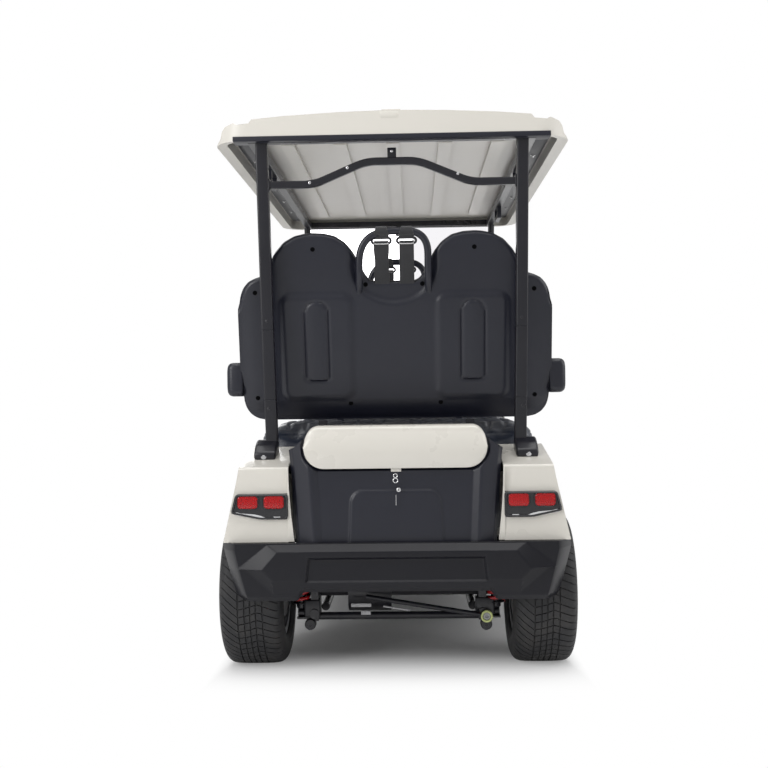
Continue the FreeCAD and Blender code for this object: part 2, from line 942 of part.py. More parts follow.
def make_shock(low, high):
    # Damper, rod, spring seats and the spring's stacked coils, along the line between two eyes
    start = point(*low)
    run = point(*high) - start

    def along(share):
        spot = start + run * share
        return (spot.x, spot.y, spot.z)

    spring_start_share = 0.17
    spring_end_share = 0.84
    seat_radius = s.spring_radius + s.spring_wire
    pieces = [
        bar(along(0.0), along(0.55), s.shock_tube_radius),
        bar(along(0.5), along(1.0), s.shock_rod_radius),
        bar(along(spring_start_share - 0.03), along(spring_start_share), seat_radius),
        bar(along(spring_end_share), along(spring_end_share + 0.03), seat_radius),
    ]
    for end in (low, high):
        eye_start = (as_size(end[0]), as_size(end[1]) - s.shock_eye_radius, end[2])
        pieces.append(rod("y", eye_start, s.shock_eye_radius, s.shock_eye_radius * 2))
    length = run.Length * (spring_end_share - spring_start_share)
    coils = counts["spring_coils"]
    pitch = length / coils
    outline = [(0, s.spring_radius - s.spring_wire), (length, s.spring_radius - s.spring_wire)]
    for coil in reversed(range(coils)):
        outline.append((pitch * (coil + 1), s.spring_radius))
        outline.append((pitch * (coil + 0.5), seat_radius))
    outline.append((0, s.spring_radius))
    pieces.append(revolved(outline, *along(spring_start_share), Rotation(Vector(1, 0, 0), run)))
    return pieces


def front_shock_ends():
    lower, upper = arm_levels()
    rail_outer = s.rail_centre + s.rail_width / 2
    low = (s.front_shock_x, front_axle_y, lower + s.arm_tube_radius + s.shock_eye_radius + s.fit_gap)
    high = (rail_outer + s.shock_eye_radius + s.shock_top_gap + s.fit_gap, front_axle_y, s.front_tower_top)
    return low, high


def make_steering_rack():
    top = s.rail_base + s.rail_height
    z = top + s.rack_rise
    housing = rod("x", (-s.rack_half, s.rack_y, z), s.rack_radius, s.rack_half * 2)
    boots = []
    for side in (-1, 1):
        start = s.rack_half if side > 0 else -s.rack_half - s.rack_radius * 2
        boots.append(rod("x", (start, s.rack_y, z), s.rack_radius * 0.75, s.rack_radius * 2))
    saddle = block((-s.rack_half * 0.6, s.rack_y - s.rack_radius, top),
                   (s.rack_half * 0.6, s.rack_y + s.rack_radius, z))
    node("steering_rack", fuse(housing, saddle, *boots))


def shock_shelf_z():
    return axle_z - s.cross_tube_drop


def make_rear_axle():
    y = rear_axle_y
    z = axle_z
    tube_rod = rod("x", (-s.axle_tube_end, y, z), s.axle_tube_radius, s.axle_tube_end * 2)
    pieces = [tube_rod]
    diff_start = -s.diff_centre_x - s.diff_width / 2
    pieces.append(rod("x", (diff_start, y, z), s.diff_radius, s.diff_width))
    case_low = (diff_start + s.cut_over, y, z - s.diff_radius / 2)
    pieces.append(block(case_low, (diff_start + s.diff_width - s.cut_over, y + s.motor_forward, z + s.diff_radius / 2)))
    shaft_end = s.wheel_centre + s.rim_disc_offset - s.rim_cap_length - s.panel_gap
    pieces.append(rod("x", (-shaft_end, y, z), s.spindle_radius, shaft_end * 2))
    cross_z = z - s.cross_tube_drop
    cross_y = y - s.cross_tube_back
    pieces.append(rod("x", (-s.cross_tube_half, cross_y, cross_z), s.cross_tube_radius, s.cross_tube_half * 2))
    for side in (-1, 1):
        centre = side * s.cross_tube_half
        low = (centre - s.axle_bracket_width / 2, cross_y - s.axle_bracket_depth / 2, cross_z - s.cross_tube_radius)
        high = (centre + s.axle_bracket_width / 2, y + s.axle_tube_radius, z)
        pieces.append(block(low, high))
        bush_start = (centre, cross_y - s.bush_length, cross_z + s.cross_tube_radius)
        pieces.append(rod("y", bush_start, s.bush_radius * 0.8, s.bush_length))
        shelf_reach = s.rear_shock_x + s.shock_eye_radius
        shelf_low = (side * shelf_reach if side < 0 else centre, cross_y - s.axle_bracket_depth / 2, shock_shelf_z() - s.foot_wall)
        shelf_high = (centre if side < 0 else shelf_reach, cross_y + s.axle_bracket_depth / 2, shock_shelf_z())
        pieces.append(block(shelf_low, shelf_high))
        drum_low = s.drum_start - s.drum_width
        drum_start = drum_low if side > 0 else -s.drum_start
        pieces.append(rod("x", (drum_start, y, z), s.drum_radius, s.drum_width))
    node("rear_axle", fuse(*pieces))


def make_motor():
    start = (-s.diff_centre_x + s.diff_width / 2 - s.cut_over + s.fit_gap, rear_axle_y + s.motor_forward, axle_z + s.motor_rise)
    barrel = rod("x", start, s.motor_radius, s.motor_length)
    node("drive_motor", barrel)


def make_rear_links():
    pieces = []
    z = axle_z - s.cross_tube_drop + s.cross_tube_radius
    for side in (-1, 1):
        x = side * s.link_x
        start_y = rear_axle_y + s.axle_tube_radius + s.fit_gap
        pieces.append(tube(((x, start_y, z), (x, -s.link_front_y - s.link_radius * 4, z),
                            (x, -s.link_front_y, s.rail_base)), s.link_radius * 3, s.link_radius))
    return pieces


def make_rear_gear():
    shock_low = (s.rear_shock_x, rear_axle_y - s.rear_shock_back, shock_shelf_z() + s.shock_eye_radius + s.fit_gap)
    shock_high = (s.rear_shock_x, rear_axle_y - s.rear_shock_back, s.rear_shock_top)
    node("rear_shocks", group(*both_sides(fuse(*make_shock(shock_low, shock_high)))))
    front_low, front_high = front_shock_ends()
    node("front_shocks", group(*both_sides(fuse(*make_shock(front_low, front_high)))))
    node("rear_links", group(*make_rear_links()))


def seat_base_span(row_shift):
    rear = row_shift - s.seat_back_y
    front = row_shift - s.rear_seat_front
    return rear, front


def make_battery():
    rear, front = seat_base_span(s.row_pitch)
    base = s.floor_top + s.fit_gap
    low = (-s.battery_width / 2, rear + s.seat_base_inset * 2, base)
    high = (s.battery_width / 2, rear + s.seat_base_inset * 2 + s.battery_length, base + s.battery_height)
    node("battery_pack", block(low, high))


def floor_outline():
    top = s.floor_top
    toe_top = top + s.toe_rise
    thick = s.floor_thickness
    rear = -s.fender_front
    return (
        (rear, top - thick),
        (s.floor_front, top - thick),
        (s.toe_front, toe_top),
        (s.toe_front - thick, toe_top),
        (s.floor_front - thick / 2, top),
        (rear, top),
    )


def make_floor():
    pan = extruded("side", -s.floor_half, s.floor_half * 2, floor_outline())
    node("floor_pan", pan)
    top = s.floor_top + s.fit_gap
    half = s.floor_half - s.mat_margin
    rear_base_front = seat_base_span(0)[1]
    front_base_rear, front_base_front = seat_base_span(s.row_pitch)
    spans = (
        (rear_base_front + s.mat_margin, front_base_rear - s.mat_margin),
        (front_base_front + s.mat_margin, s.floor_front - s.mat_margin),
    )
    mats = [block((-half, start, top), (half, end, top + s.mat_thickness)) for start, end in spans]
    node("floor_mats", group(*mats))


def make_rockers():
    outer = s.rocker_outer
    inner = outer - s.rocker_width + s.cut_over / 2
    base = s.floor_top - s.rocker_height
    profile = (
        (s.floor_half + s.fit_gap, base),
        (outer - s.rocker_corner, base, s.rocker_corner / 2),
        (outer, base + s.rocker_height / 2, s.rocker_corner),
        (outer - s.rocker_corner / 2, s.floor_top + s.rocker_corner / 2, s.rocker_corner / 2),
        (s.floor_half + s.fit_gap, s.floor_top + s.rocker_corner / 2),
    )
    sill = extruded("rear", -s.rocker_rear, s.rocker_rear + s.rocker_front, profile)
    node("rocker_panels", group(*both_sides(sill)))


def cowl_side_outline():
    rear = s.cowl_rear
    nose = s.cowl_nose
    top = s.cowl_top
    return (
        (rear, s.cowl_base),
        (nose - s.cut_over, s.cowl_base),
        (nose, s.front_bumper_top, s.cut_over),
        (nose - s.cut_over * 2, s.hood_front_top, s.cut_over * 3),
        (nose - s.front_overhang * 0.55, s.hood_front_top + (top - s.hood_front_top) * 0.5, s.cut_over * 8),
        (s.strut_foot_y + s.cut_over, top, s.cut_over * 2),
        (rear, top),
    )


def cowl_end_outline():
    half = s.cowl_half
    top = s.cowl_top + s.cut_over
    rise = top - s.cowl_base
    return mirror_outline((
        (0, s.cowl_base - s.cut_over),
        (half, s.cowl_base - s.cut_over),
        (half, s.cowl_base + rise * 0.52, s.cut_over * 3),
        (half * 0.90, s.cowl_base + rise * 0.80, s.cut_over * 4),
        (half * 0.78, top - s.cut_over, s.cut_over * 2),
        (0, top),
    ))


def cowl_plan_outline():
    half = s.cowl_half
    return mirror_outline((
        (0, s.cowl_rear - s.cut_over),
        (half, s.cowl_rear - s.cut_over),
        (half, front_axle_y + s.cut_over * 6, s.cut_over * 12),
        (half * 0.72, s.cowl_nose - s.cut_over, s.cut_over * 5),
        (0, s.cowl_nose + s.cut_over / 2, s.cowl_half * 2),
    ))


def three_way(side_outline, end_outline, plan_outline, span):
    # The solid that has these three outlines, seen from the side, from the end and from above
    x_half, y_low, y_high, z_low, z_high = span
    from_side = extruded("side", -x_half, x_half * 2, side_outline)
    from_end = extruded("rear", y_low, y_high - y_low, end_outline)
    from_top = extruded("top", z_low, z_high - z_low, plan_outline)
    return common(from_side, from_end, from_top)


def make_cowl():
    wall = s.panel_wall
    span = (s.cowl_half + s.cut_over, s.cowl_rear, s.cowl_nose + s.cut_over, s.cowl_base, s.cowl_top + s.cut_over)
    outer = three_way(cowl_side_outline(), cowl_end_outline(), cowl_plan_outline(), span)
    inner_span = (s.cowl_half, s.cowl_rear - s.cut_over, s.cowl_nose, s.cowl_base - s.cut_over, s.cowl_top)
    inner_side = [list(item) for item in inset(cowl_side_outline(), wall)]
    inner_side[0] = [float(s.cowl_rear - s.cut_over), float(s.cowl_base - s.cut_over)]
    inner_side[1][1] = float(s.cowl_base - s.cut_over)
    inner_side[-1][0] = float(s.cowl_rear - s.cut_over)
    inner = three_way(inner_side, inset(cowl_end_outline(), wall), inset(cowl_plan_outline(), wall), inner_span)
    arches = []
    for side in (-1, 1):
        start = s.arch_inner if side > 0 else -s.cowl_half - s.cut_over
        arches.append(rod("x", (start, front_axle_y, axle_z), s.arch_radius, s.cowl_half + s.cut_over - s.arch_inner))
    bumper_space = block((-s.cowl_half, front_axle_y + s.arch_radius * 0.9, s.cowl_base - s.cut_over),
                         (s.cowl_half, s.cowl_nose + s.cut_over, s.front_bumper_top + s.panel_gap))
    grille = block((-s.grille_half, s.cowl_nose - s.front_bumper_depth, s.grille_base),
                   (s.grille_half, s.cowl_nose + s.cut_over, s.grille_top))
    lamp_holes = both_sides(block((s.head_lamp_inner, s.cowl_nose - s.head_lamp_depth * 3, s.head_lamp_base),
                                  (s.head_lamp_outer, s.cowl_nose + s.cut_over, s.head_lamp_top)))
    panel = cut(outer, inner, *arches, bumper_space, grille, *lamp_holes)
    node("front_cowl", panel)


def make_front_end():
    # The lamps fill their holes in the cowl, and the bumper closes the nose below it
    wall = s.panel_wall
    half = s.front_bumper_half
    height = s.front_bumper_top - s.front_bumper_base
    back = front_face_y - s.front_bumper_depth

    def plan(skin):
        return mirror_outline((
            (0, front_face_y - skin),
            (half * 0.45, front_face_y - skin - s.cut_over * 0.2, s.cut_over * 8),
            (half * 0.82 - skin / 2, front_face_y - skin - s.cut_over, s.cut_over * 5),
            (half - skin, back - s.cut_over * (skin.value > 0)),
            (0, back - s.cut_over * (skin.value > 0)),
        ))

    shell = extruded("top", s.front_bumper_base, height, plan(wall * 0))
    hollow = extruded("top", s.front_bumper_base + wall, height - wall * 2, plan(wall))
    node("front_bumper", cut(shell, hollow))
    lamps = []
    gap = s.fit_gap
    span = (s.cowl_half + s.cut_over, s.cowl_rear, s.cowl_nose + s.cut_over, s.cowl_base, s.cowl_top + s.cut_over)
    skin = three_way(inset(cowl_side_outline(), gap), inset(cowl_end_outline(), gap), inset(cowl_plan_outline(), gap), span)
    low = (s.head_lamp_inner + gap, s.cowl_nose - s.head_lamp_depth * 2, s.head_lamp_base + gap)
    high = (s.head_lamp_outer - gap, s.cowl_nose + s.cut_over, s.head_lamp_top - gap)
    lamp = common(skin, block(low, high))
    node("headlamps", group(*both_sides(lamp)))
    bars = []
    pitch = (s.grille_top - s.grille_base) / counts["grille_bars"]
    face = s.cowl_nose - s.panel_wall * 3
    for index in range(counts["grille_bars"]):
        base = s.grille_base + pitch * (index + 0.5) - s.grille_bar / 2
        bars.append(block((-s.grille_half + gap, face - s.panel_wall * 3, base),
                          (s.grille_half - gap, face, base + s.grille_bar)))
    back = block((-s.grille_half + gap, face - s.panel_wall * 4, s.grille_base + gap),
                 (s.grille_half - gap, face - s.panel_wall * 3, s.grille_top - gap))
    node("front_grille", fuse(back, *bars))


def make_dashboard():
    front = s.cowl_rear - s.fit_gap
    rear = front - s.dash_depth
    half = s.dash_half - s.panel_gap
    outline = (
        (front, s.dash_base),
        (front, s.dash_top),
        (front - s.dash_depth * 0.55, s.dash_top - s.cut_over, s.cut_over * 2),
        (rear, s.dash_top - s.dash_depth * 0.6, s.cut_over * 2),
        (rear + s.dash_depth * 0.35, s.dash_base),
    )
    body = extruded("side", -half, half * 2, outline)
    tools = []
    bin_z = (s.dash_base + s.dash_top) / 2 - s.dash_bin_height / 2
    for centre in (-s.dash_bin_x, s.dash_bin_x):
        low = (centre - s.dash_bin_half * 0.8, rear - s.cut_over, bin_z)
        high = (centre + s.dash_bin_half * 0.8, rear + s.dash_bin_depth, bin_z + s.dash_bin_height)
        if centre.value > 0:
            tools.append(block(low, high))
    cup_y = front - s.dash_depth / 2
    for side in (-1, 1):
        tools.append(rod("z", (side * s.cup_x, cup_y, s.dash_top - s.cut_over - s.cup_depth), s.cup_radius,
                         s.cup_depth + s.cut_over * 2))
    column = column_point(s.column_length)
    space = bar(column_point(0), column_point(s.column_elbow * 2), s.column_radius + s.fit_gap)
    node("dashboard", cut(body, *tools, space))


def column_point(distance):
    # A point on the steering column's line, measured down from the wheel's hub
    slope = math.radians(column_slope)
    return (-s.steer_x, s.steer_y + distance * math.cos(slope), s.steer_z - distance * math.sin(slope))


def column_turn():
    return Rotation(Vector(1, 0, 0), -90 - column_slope + 180)


def make_steering_column():
    gap = s.steer_hub_height / 2 + s.column_gap
    jacket = bar(column_point(gap), column_point(s.column_length), s.column_radius)
    elbow = column_point(s.column_elbow)
    neck = bar(column_point(s.column_length - s.cut_over), elbow, s.steer_shaft_radius)
    pinion = (-s.pinion_x, s.rack_y - s.rack_radius, s.rail_base + s.rail_height + s.rack_rise + s.rack_radius * 0.8)
    shaft = bar(elbow, pinion, s.steer_shaft_radius)
    joint = ball(elbow, s.steer_shaft_radius * 1.7)
    bore = bar(column_point(0), column_point(gap + s.cut_over * 2), s.steer_shaft_radius + s.running_fit)
    node("steering_column", cut(fuse(jacket, neck, shaft, joint), bore))


def make_steering_wheel():
    # Made flat about Z with the driver's side up, then turned onto the column
    middle = s.steer_wheel_radius - s.steer_rim_radius
    section = []
    for place in range(counts["steer_rim_sides"]):
        way = math.radians(360 * place / counts["steer_rim_sides"])
        section.append((s.steer_rim_radius * math.cos(way), middle + s.steer_rim_radius * math.sin(way)))
    rim = revolved(section, 0, 0, s.steer_rim_rise, Rotation(Vector(0, 1, 0), 90))
    hub = rod("z", (0, 0, -s.steer_hub_height / 2), s.steer_hub_radius, s.steer_hub_height + s.steer_rim_rise / 2)
    shaft = rod("z", (0, 0, -s.steer_hub_height / 2 - s.column_gap - s.cut_over), s.steer_shaft_radius,
                s.column_gap + s.cut_over * 2)
    pieces = [rim, hub, shaft]
    reach = s.steer_wheel_radius - s.steer_rim_radius
    for angle in (-30, 90, 210):
        way = math.radians(angle)
        out = Vector(math.cos(way), math.sin(way), 0)
        start = out * float(s.steer_hub_radius * 0.7)
        end = out * float(reach) + Vector(0, 0, float(s.steer_rim_rise))
        pieces.append(bar((start.x, start.y, s.steer_spoke_height / 2), (end.x, end.y, end.z), s.steer_spoke_height * 0.8))
    wheel = fuse(*pieces)
    node("steering_wheel", moved(wheel, *column_point(0), Rotation(Vector(1, 0, 0), 90 - column_slope)))


def make_pedals():
    # Pads square to the toe board, each on a stem that reaches it
    pads = []
    face_foot = s.floor_front - s.floor_thickness / 2
    run_share = (s.toe_front - s.floor_thickness - face_foot).value / s.toe_rise.value
    lean = math.atan(run_share)
    for x, width in ((s.pedal_x, s.pedal_width), (s.brake_x, s.pedal_width * 1.3)):
        pad = block((-width / 2, -s.pedal_thickness / 2, -s.pedal_length / 2),
                    (width / 2, s.pedal_thickness / 2, s.pedal_length / 2))
        stem = rod("y", (0, 0, 0), s.steer_shaft_radius * 0.8, s.pedal_reach * math.cos(lean) - s.fit_gap)
        face_y = face_foot + (s.pedal_z - s.floor_top) * run_share - s.pedal_reach
        pads.append(moved(fuse(pad, stem), -x, face_y, s.pedal_z, Rotation(Vector(1, 0, 0), -math.degrees(lean))))
    node("pedals", group(*pads))


def fender_skirt_outline():
    # The same from the side with the skirt in front of the wheel that reaches the rocker
    front_skirt = s.floor_top + s.rocker_corner / 2 + s.fit_gap
    return (
        (-s.fender_rear, fender_base),
        (rear_axle_y, fender_base),
        (rear_axle_y, front_skirt),
        (-s.fender_front, front_skirt),
        (-s.fender_front - s.cut_over * 3, s.seat_deck, s.cut_over * 2),
        (-s.fender_step_y + s.panel_wall, s.seat_deck),
        (-s.fender_step_y, s.fender_top),
        (-s.fender_step_y - s.cut_over, s.fender_top),
        (-s.fender_rear + s.cut_over * 0.8, s.fender_crease_z, s.cut_over / 2),
    )


def fender_end_outline():
    return (
        (s.fender_inner, s.floor_top),
        (s.fender_bottom_x, s.floor_top),
        (s.fender_bottom_x, fender_base, s.cut_over),
        (s.fender_top_x + s.cut_over, s.fender_crease_z - s.cut_over * 2, s.cut_over * 2),
        (s.fender_top_x, s.fender_top + s.cut_over, 0),
        (s.fender_inner, s.fender_top + s.cut_over),
    )


def lamp_outline(grow):
    inner = s.lamp_inner - grow
    return (
        (inner, s.lamp_base - grow),
        (inner + s.lamp_cut + grow, s.lamp_base - grow),
        (s.lamp_outer_mid + grow, s.lamp_base + s.cut_over - grow),
        (s.lamp_outer_top + grow, s.lamp_top + grow),
        (inner, s.lamp_top + grow),
    )


def make_fenders():
    wall = s.panel_wall
    width = s.fender_bottom_x - s.fender_inner + s.cut_over
    from_side = extruded("side", s.fender_inner, width, fender_skirt_outline())
    length = s.fender_rear - s.fender_front
    from_end = extruded("rear", -s.fender_rear, length, fender_end_outline())
    outer = common(from_side, from_end)
    inner_side = [list(item) for item in inset(fender_skirt_outline(), wall)]
    for index in (0, 1):
        inner_side[index][1] = float(fender_base - s.cut_over)
    for index in (2, 3):
        inner_side[index][1] = float(s.floor_top - s.cut_over)
    inner_side[3][0] = float(-s.fender_front - wall)
    hollow_side = extruded("side", s.fender_inner - s.cut_over, width + s.cut_over, inner_side)
    inner_end = [list(item) for item in inset(fender_end_outline(), wall)]
    inner_end[0] = [float(s.fender_inner - s.cut_over), float(s.floor_top - s.cut_over)]
    inner_end[1][1] = float(s.floor_top - s.cut_over)
    inner_end[-1] = [float(s.fender_inner - s.cut_over), float(s.fender_top)]
    hollow_end = extruded("rear", -s.fender_rear, length, inner_end)
    arch = rod("x", (s.fender_inner - s.cut_over, rear_axle_y, axle_z), s.rear_arch_radius, width + s.cut_over * 2)
    lamp_space = extruded("rear", -s.fender_rear - s.cut_over, s.cut_over + s.lamp_depth, lamp_outline(s.fit_gap))
    right = cut(outer, common(hollow_side, hollow_end), arch, lamp_space)
    node("rear_fender_right", right)
    node("rear_fender_left", mirrored(right))


def make_tail_lamps():
    face = -s.fender_rear - s.lamp_proud
    housing = extruded("rear", face, s.lamp_depth, lamp_outline(0))
    lenses = []
    mid_z = s.lamp_top - s.lamp_cut * 0.14 - s.lens_height / 2
    start = s.lamp_inner + s.lens_gap / 2
    for index in range(2):
        low = start + (s.lens_width + s.lens_gap) * index
        outline = (
            (low, mid_z - s.lens_height / 2, s.lens_corner),
            (low + s.lens_width, mid_z - s.lens_height / 2, s.lens_corner),
            (low + s.lens_width, mid_z + s.lens_height / 2, s.lens_corner),
            (low, mid_z + s.lens_height / 2, s.lens_corner),
        )
        lenses.append(extruded("rear", face - s.lens_proud, s.lens_proud * 2, outline))
    lamp = fuse(housing, *lenses)
    node("tail_lamps", group(*both_sides(lamp)))


def box_plan(half, rear, front, chamfer):
    return mirror_outline((
        (0, rear),
        (half - s.box_chamfer_x * chamfer, rear, s.box_wall * 2),
        (half, rear + s.box_chamfer_y * chamfer),
        (half, front),
        (0, front),
    ))


def make_rear_box():
    wall = s.box_wall
    height = s.box_top - fender_base
    outer = extruded("top", fender_base, height, box_plan(s.box_half_top, -s.box_rear, -s.box_front, 1))
    taper = mirror_outline((
        (0, fender_base - s.cut_over),
        (s.box_half_base, fender_base - s.cut_over),
        (s.box_half_top - s.fit_gap, s.fender_top - s.cut_over),
        (s.box_half_top - s.fit_gap, s.box_top + s.cut_over),
        (0, s.box_top + s.cut_over),
    ))
    sides = extruded("rear", -s.box_rear - s.cut_over, s.box_rear - s.box_front + s.cut_over * 2, taper)
    hollow = extruded("top", fender_base + s.box_floor, height, box_plan(
        s.box_half_base - wall, -s.box_rear + wall + s.box_arch_depth, -s.box_front - wall, 1))
    lid_cut = extruded("rear", -s.box_rear - s.cut_over, s.cut_over + s.lid_corner, lid_outline(s.lid_gap))
    arch = mirror_outline((
        (0, s.box_arch_top, 0),
        (s.box_arch_top_half, s.box_arch_top, s.box_arch_corner),
        (s.box_arch_base_half, fender_base - s.cut_over),
        (0, fender_base - s.cut_over),
    ))
    relief = extruded("rear", -s.box_rear - s.cut_over, s.cut_over + s.box_arch_depth, arch)
    node("rear_box", cut(common(outer, sides), hollow, lid_cut, relief))


def lid_axis():
    return -s.lid_front, s.box_top + s.hinge_radius


def lid_outline(grow):
    half = s.lid_half + grow
    base = s.lid_base - grow
    top = s.lid_top + grow
    radius = s.lid_corner + grow
    return mirror_outline((
        (0, base),
        (half, base, radius),
        (half, top, radius),
        (0, top),
    ))


def make_lid():
    wall = s.lid_wall
    length = s.lid_rear - s.lid_front
    outer = extruded("rear", -s.lid_rear, length, lid_outline(0))
    inner_outline = mirror_outline((
        (0, s.lid_base - s.cut_over),
        (s.lid_half - wall, s.lid_base - s.cut_over),
        (s.lid_half - wall, s.lid_top - wall, s.lid_corner - wall),
        (0, s.lid_top - wall),
    ))
    inner = extruded("rear", -s.lid_rear + wall, length, inner_outline)
    under = block((-s.lid_half - s.cut_over, -s.lid_rear + wall, s.lid_base - s.cut_over),
                  (s.lid_half + s.cut_over, -s.lid_front + s.cut_over, s.box_top + s.lid_gap))
    notch = block((-s.lid_notch_half, -s.lid_rear - s.cut_over, s.lid_top - s.lid_notch_depth),
                  (s.lid_notch_half, -s.lid_rear + s.lid_corner, s.lid_top + s.cut_over))
    tab = block((-s.lid_tab_half, -s.lid_rear, s.lid_base - s.lid_tab_drop),
                (s.lid_tab_half, -s.box_rear - s.fit_gap, s.lid_base + s.lid_tab_drop))
    node("rear_lid", fuse(cut(outer, inner, under), tab))


def bumper_end_outline(wall):
    return mirror_outline((
        (0, s.bumper_base + wall),
        (s.bumper_half_base - s.bumper_skirt - wall, s.bumper_base + wall),
        (s.bumper_half_base - wall, s.bumper_base + s.bumper_skirt + wall),
        (s.bumper_half_top - wall, s.bumper_top - wall),
        (0, s.bumper_top - wall),
    ))


def bumper_plan_outline(wall):
    rear = rear_face_y + wall
    front = rear_face_y + s.bumper_depth
    half = s.bumper_half_top - wall
    return mirror_outline((
        (0, rear),
        (half - s.bumper_corner_x, rear, s.cut_over * 2),
        (half, rear + s.bumper_corner_y),
        (half, front),
        (0, front),
    ))


def make_rear_bumper():
    wall = s.bumper_wall
    depth = s.bumper_depth
    outer = common(
        extruded("rear", rear_face_y - s.cut_over, depth + s.cut_over * 2, bumper_end_outline(0)),
        extruded("top", s.bumper_base, s.bumper_top - s.bumper_base, bumper_plan_outline(0)),
    )
    skirt = extruded("side", -s.bumper_half_top, s.bumper_half_top * 2, (
        (rear_face_y - s.cut_over, s.bumper_base - s.cut_over),
        (rear_face_y + s.bumper_skirt_in, s.bumper_base - s.cut_over),
        (rear_face_y, s.bumper_base + s.bumper_skirt),
        (rear_face_y - s.cut_over, s.bumper_base + s.bumper_skirt),
    ))
    inside = common(
        extruded("rear", rear_face_y + wall + s.plate_depth, depth, bumper_end_outline(wall)),
        extruded("top", s.bumper_base + wall, s.bumper_top - s.bumper_base - wall * 2, [
            (x, y + s.cut_over * (y > float(rear_face_y + depth / 2))) for x, y, *_ in
            [(float(i[0]), float(i[1])) for i in bumper_plan_outline(wall)]]),
    )
    plate = block((-s.plate_half, rear_face_y - s.cut_over, s.plate_base),
                  (s.plate_half, rear_face_y + s.plate_depth, s.plate_top))
    holes = []
    for side in (-1, 1):
        start = (side * s.plate_hole_spacing / 2, rear_face_y - s.cut_over, s.plate_hole_z)
        holes.append(rod("y", start, s.plate_hole_radius, s.cut_over * 3))
    lamp = block((-s.plate_lamp_half, rear_face_y + s.plate_depth - s.plate_lamp_depth, s.plate_top - s.plate_lamp_height),
                 (s.plate_lamp_half, rear_face_y + s.plate_depth + s.fit_gap, s.plate_top))
    node("rear_bumper", fuse(cut(outer, skirt, inside, plate, *holes), lamp))


def make_rear_seat_base():
    wall = s.panel_wall
    # The rear base closes the space between the fenders under the rear cushion
    rear, front = seat_base_span(0)
    half = s.fender_inner - s.fit_gap
    base = s.floor_top + s.fit_gap
    low = (-half, rear - s.cut_over, base)
    high = (half, front, s.seat_deck)
    shell = cut(block(low, high), block((-half + wall, rear - s.cut_over * 2, base - s.cut_over),
                                        (half - wall, front - wall, s.seat_deck - wall)))
    node("rear_seat_base", shell)


def make_front_seat_base():
    wall = s.panel_wall
    rear, front = seat_base_span(s.row_pitch)
    half = s.seat_base_half
    base = s.floor_top + s.fit_gap
    outer_low = (-half, rear + s.seat_base_inset / 2, base)
    outer_high = (half, front - s.seat_base_inset / 2, s.seat_deck)
    inner_low = (-half + wall, rear + s.seat_base_inset / 2 + wall, base - s.cut_over)
    inner_high = (half - wall, front - s.seat_base_inset / 2 - wall, s.seat_deck + s.cut_over)
    ledge_low = (-half, rear + s.seat_base_inset / 2, s.seat_deck - wall)
    ledge_hole = block((-half + s.seat_base_inset, rear + s.seat_base_inset * 1.5, s.seat_deck - s.cut_over),
                       (half - s.seat_base_inset, front - s.seat_base_inset * 1.5, s.seat_deck + s.cut_over))
    walls = cut(block(outer_low, outer_high), block(inner_low, inner_high))
    ledge = cut(block(ledge_low, outer_high), ledge_hole)
    back_y = rear - s.fit_gap * 2
    low_x = s.back_bracket_x - s.back_bracket_width / 2
    high_x = s.back_bracket_x + s.back_bracket_width / 2
    low_z = s.seat_deck - s.back_bracket_width * 4
    upright = block((low_x, back_y - s.back_bracket_depth, low_z), (high_x, back_y, shell_foot_z()))
    link = block((low_x, back_y - s.back_bracket_depth, low_z), (high_x, rear + s.seat_base_inset / 2 + wall, s.seat_deck - wall))
    node("front_seat_base", fuse(walls, ledge, *both_sides(upright), *both_sides(link)))


def cushion(row_shift):
    rear = row_shift - s.seat_back_y + s.back_pad_thickness + s.cushion_gap
    front = row_shift - s.rear_seat_front
    profile = (
        (rear, cushion_base, s.cushion_round / 2),
        (front, cushion_base, s.cushion_round / 2),
        (front, s.cushion_top, s.cushion_round),
        (rear, s.cushion_top, s.cushion_round / 2),
    )
    return extruded("side", -s.cushion_half, s.cushion_half * 2, profile)


def shell_corners(grow):
    # Half the backrest outline in its own flat frame, up from its bottom edge
    corners = []
    half = s.shell_half - grow
    height = s.shell_height - grow
    for across_share, up_share, radius_share in shell_outline_shares:
        up = height * up_share if up_share else as_size(grow)
        corners.append((half * across_share, up, s.shell_half * radius_share))
    return mirror_outline(corners)


def lean_back(item, row_shift):
    # Stand a flat piece at the foot of a backrest and lean it to the rear
    return moved(item, 0, row_shift - s.seat_back_y, s.shell_base, Rotation(Vector(1, 0, 0), seat_back_lean))


def make_seats():
    for name, shift in (("rear", s.row_pitch * 0), ("front", s.row_pitch)):
        node(name + "_seat_cushion", cushion(shift))
        shell = extruded("rear", -s.shell_thickness, s.shell_thickness, shell_corners(0))
        node(name + "_backrest_shell", lean_back(shell, shift))
        pad_outline = shell_corners(s.back_pad_margin)
        pad = extruded("rear", s.fit_gap, s.back_pad_thickness, pad_outline)
        node(name + "_backrest_pad", lean_back(pad, shift))
    rests = []
    for shift in (s.row_pitch * 0, s.row_pitch):
        rests.append(make_arm_rest(shift))
    node("armrests", group(*[piece for rest in rests for piece in both_sides(rest)]))
    handles = []
    belts = []
    for shift in (s.row_pitch * 0, s.row_pitch):
        handles.append(lean_back(make_handle(), shift))
        belts += [lean_back(make_belt(side), shift) for side in (-1, 1)]
    node("grab_handles", group(*handles))
    node("seat_belts", group(*belts))


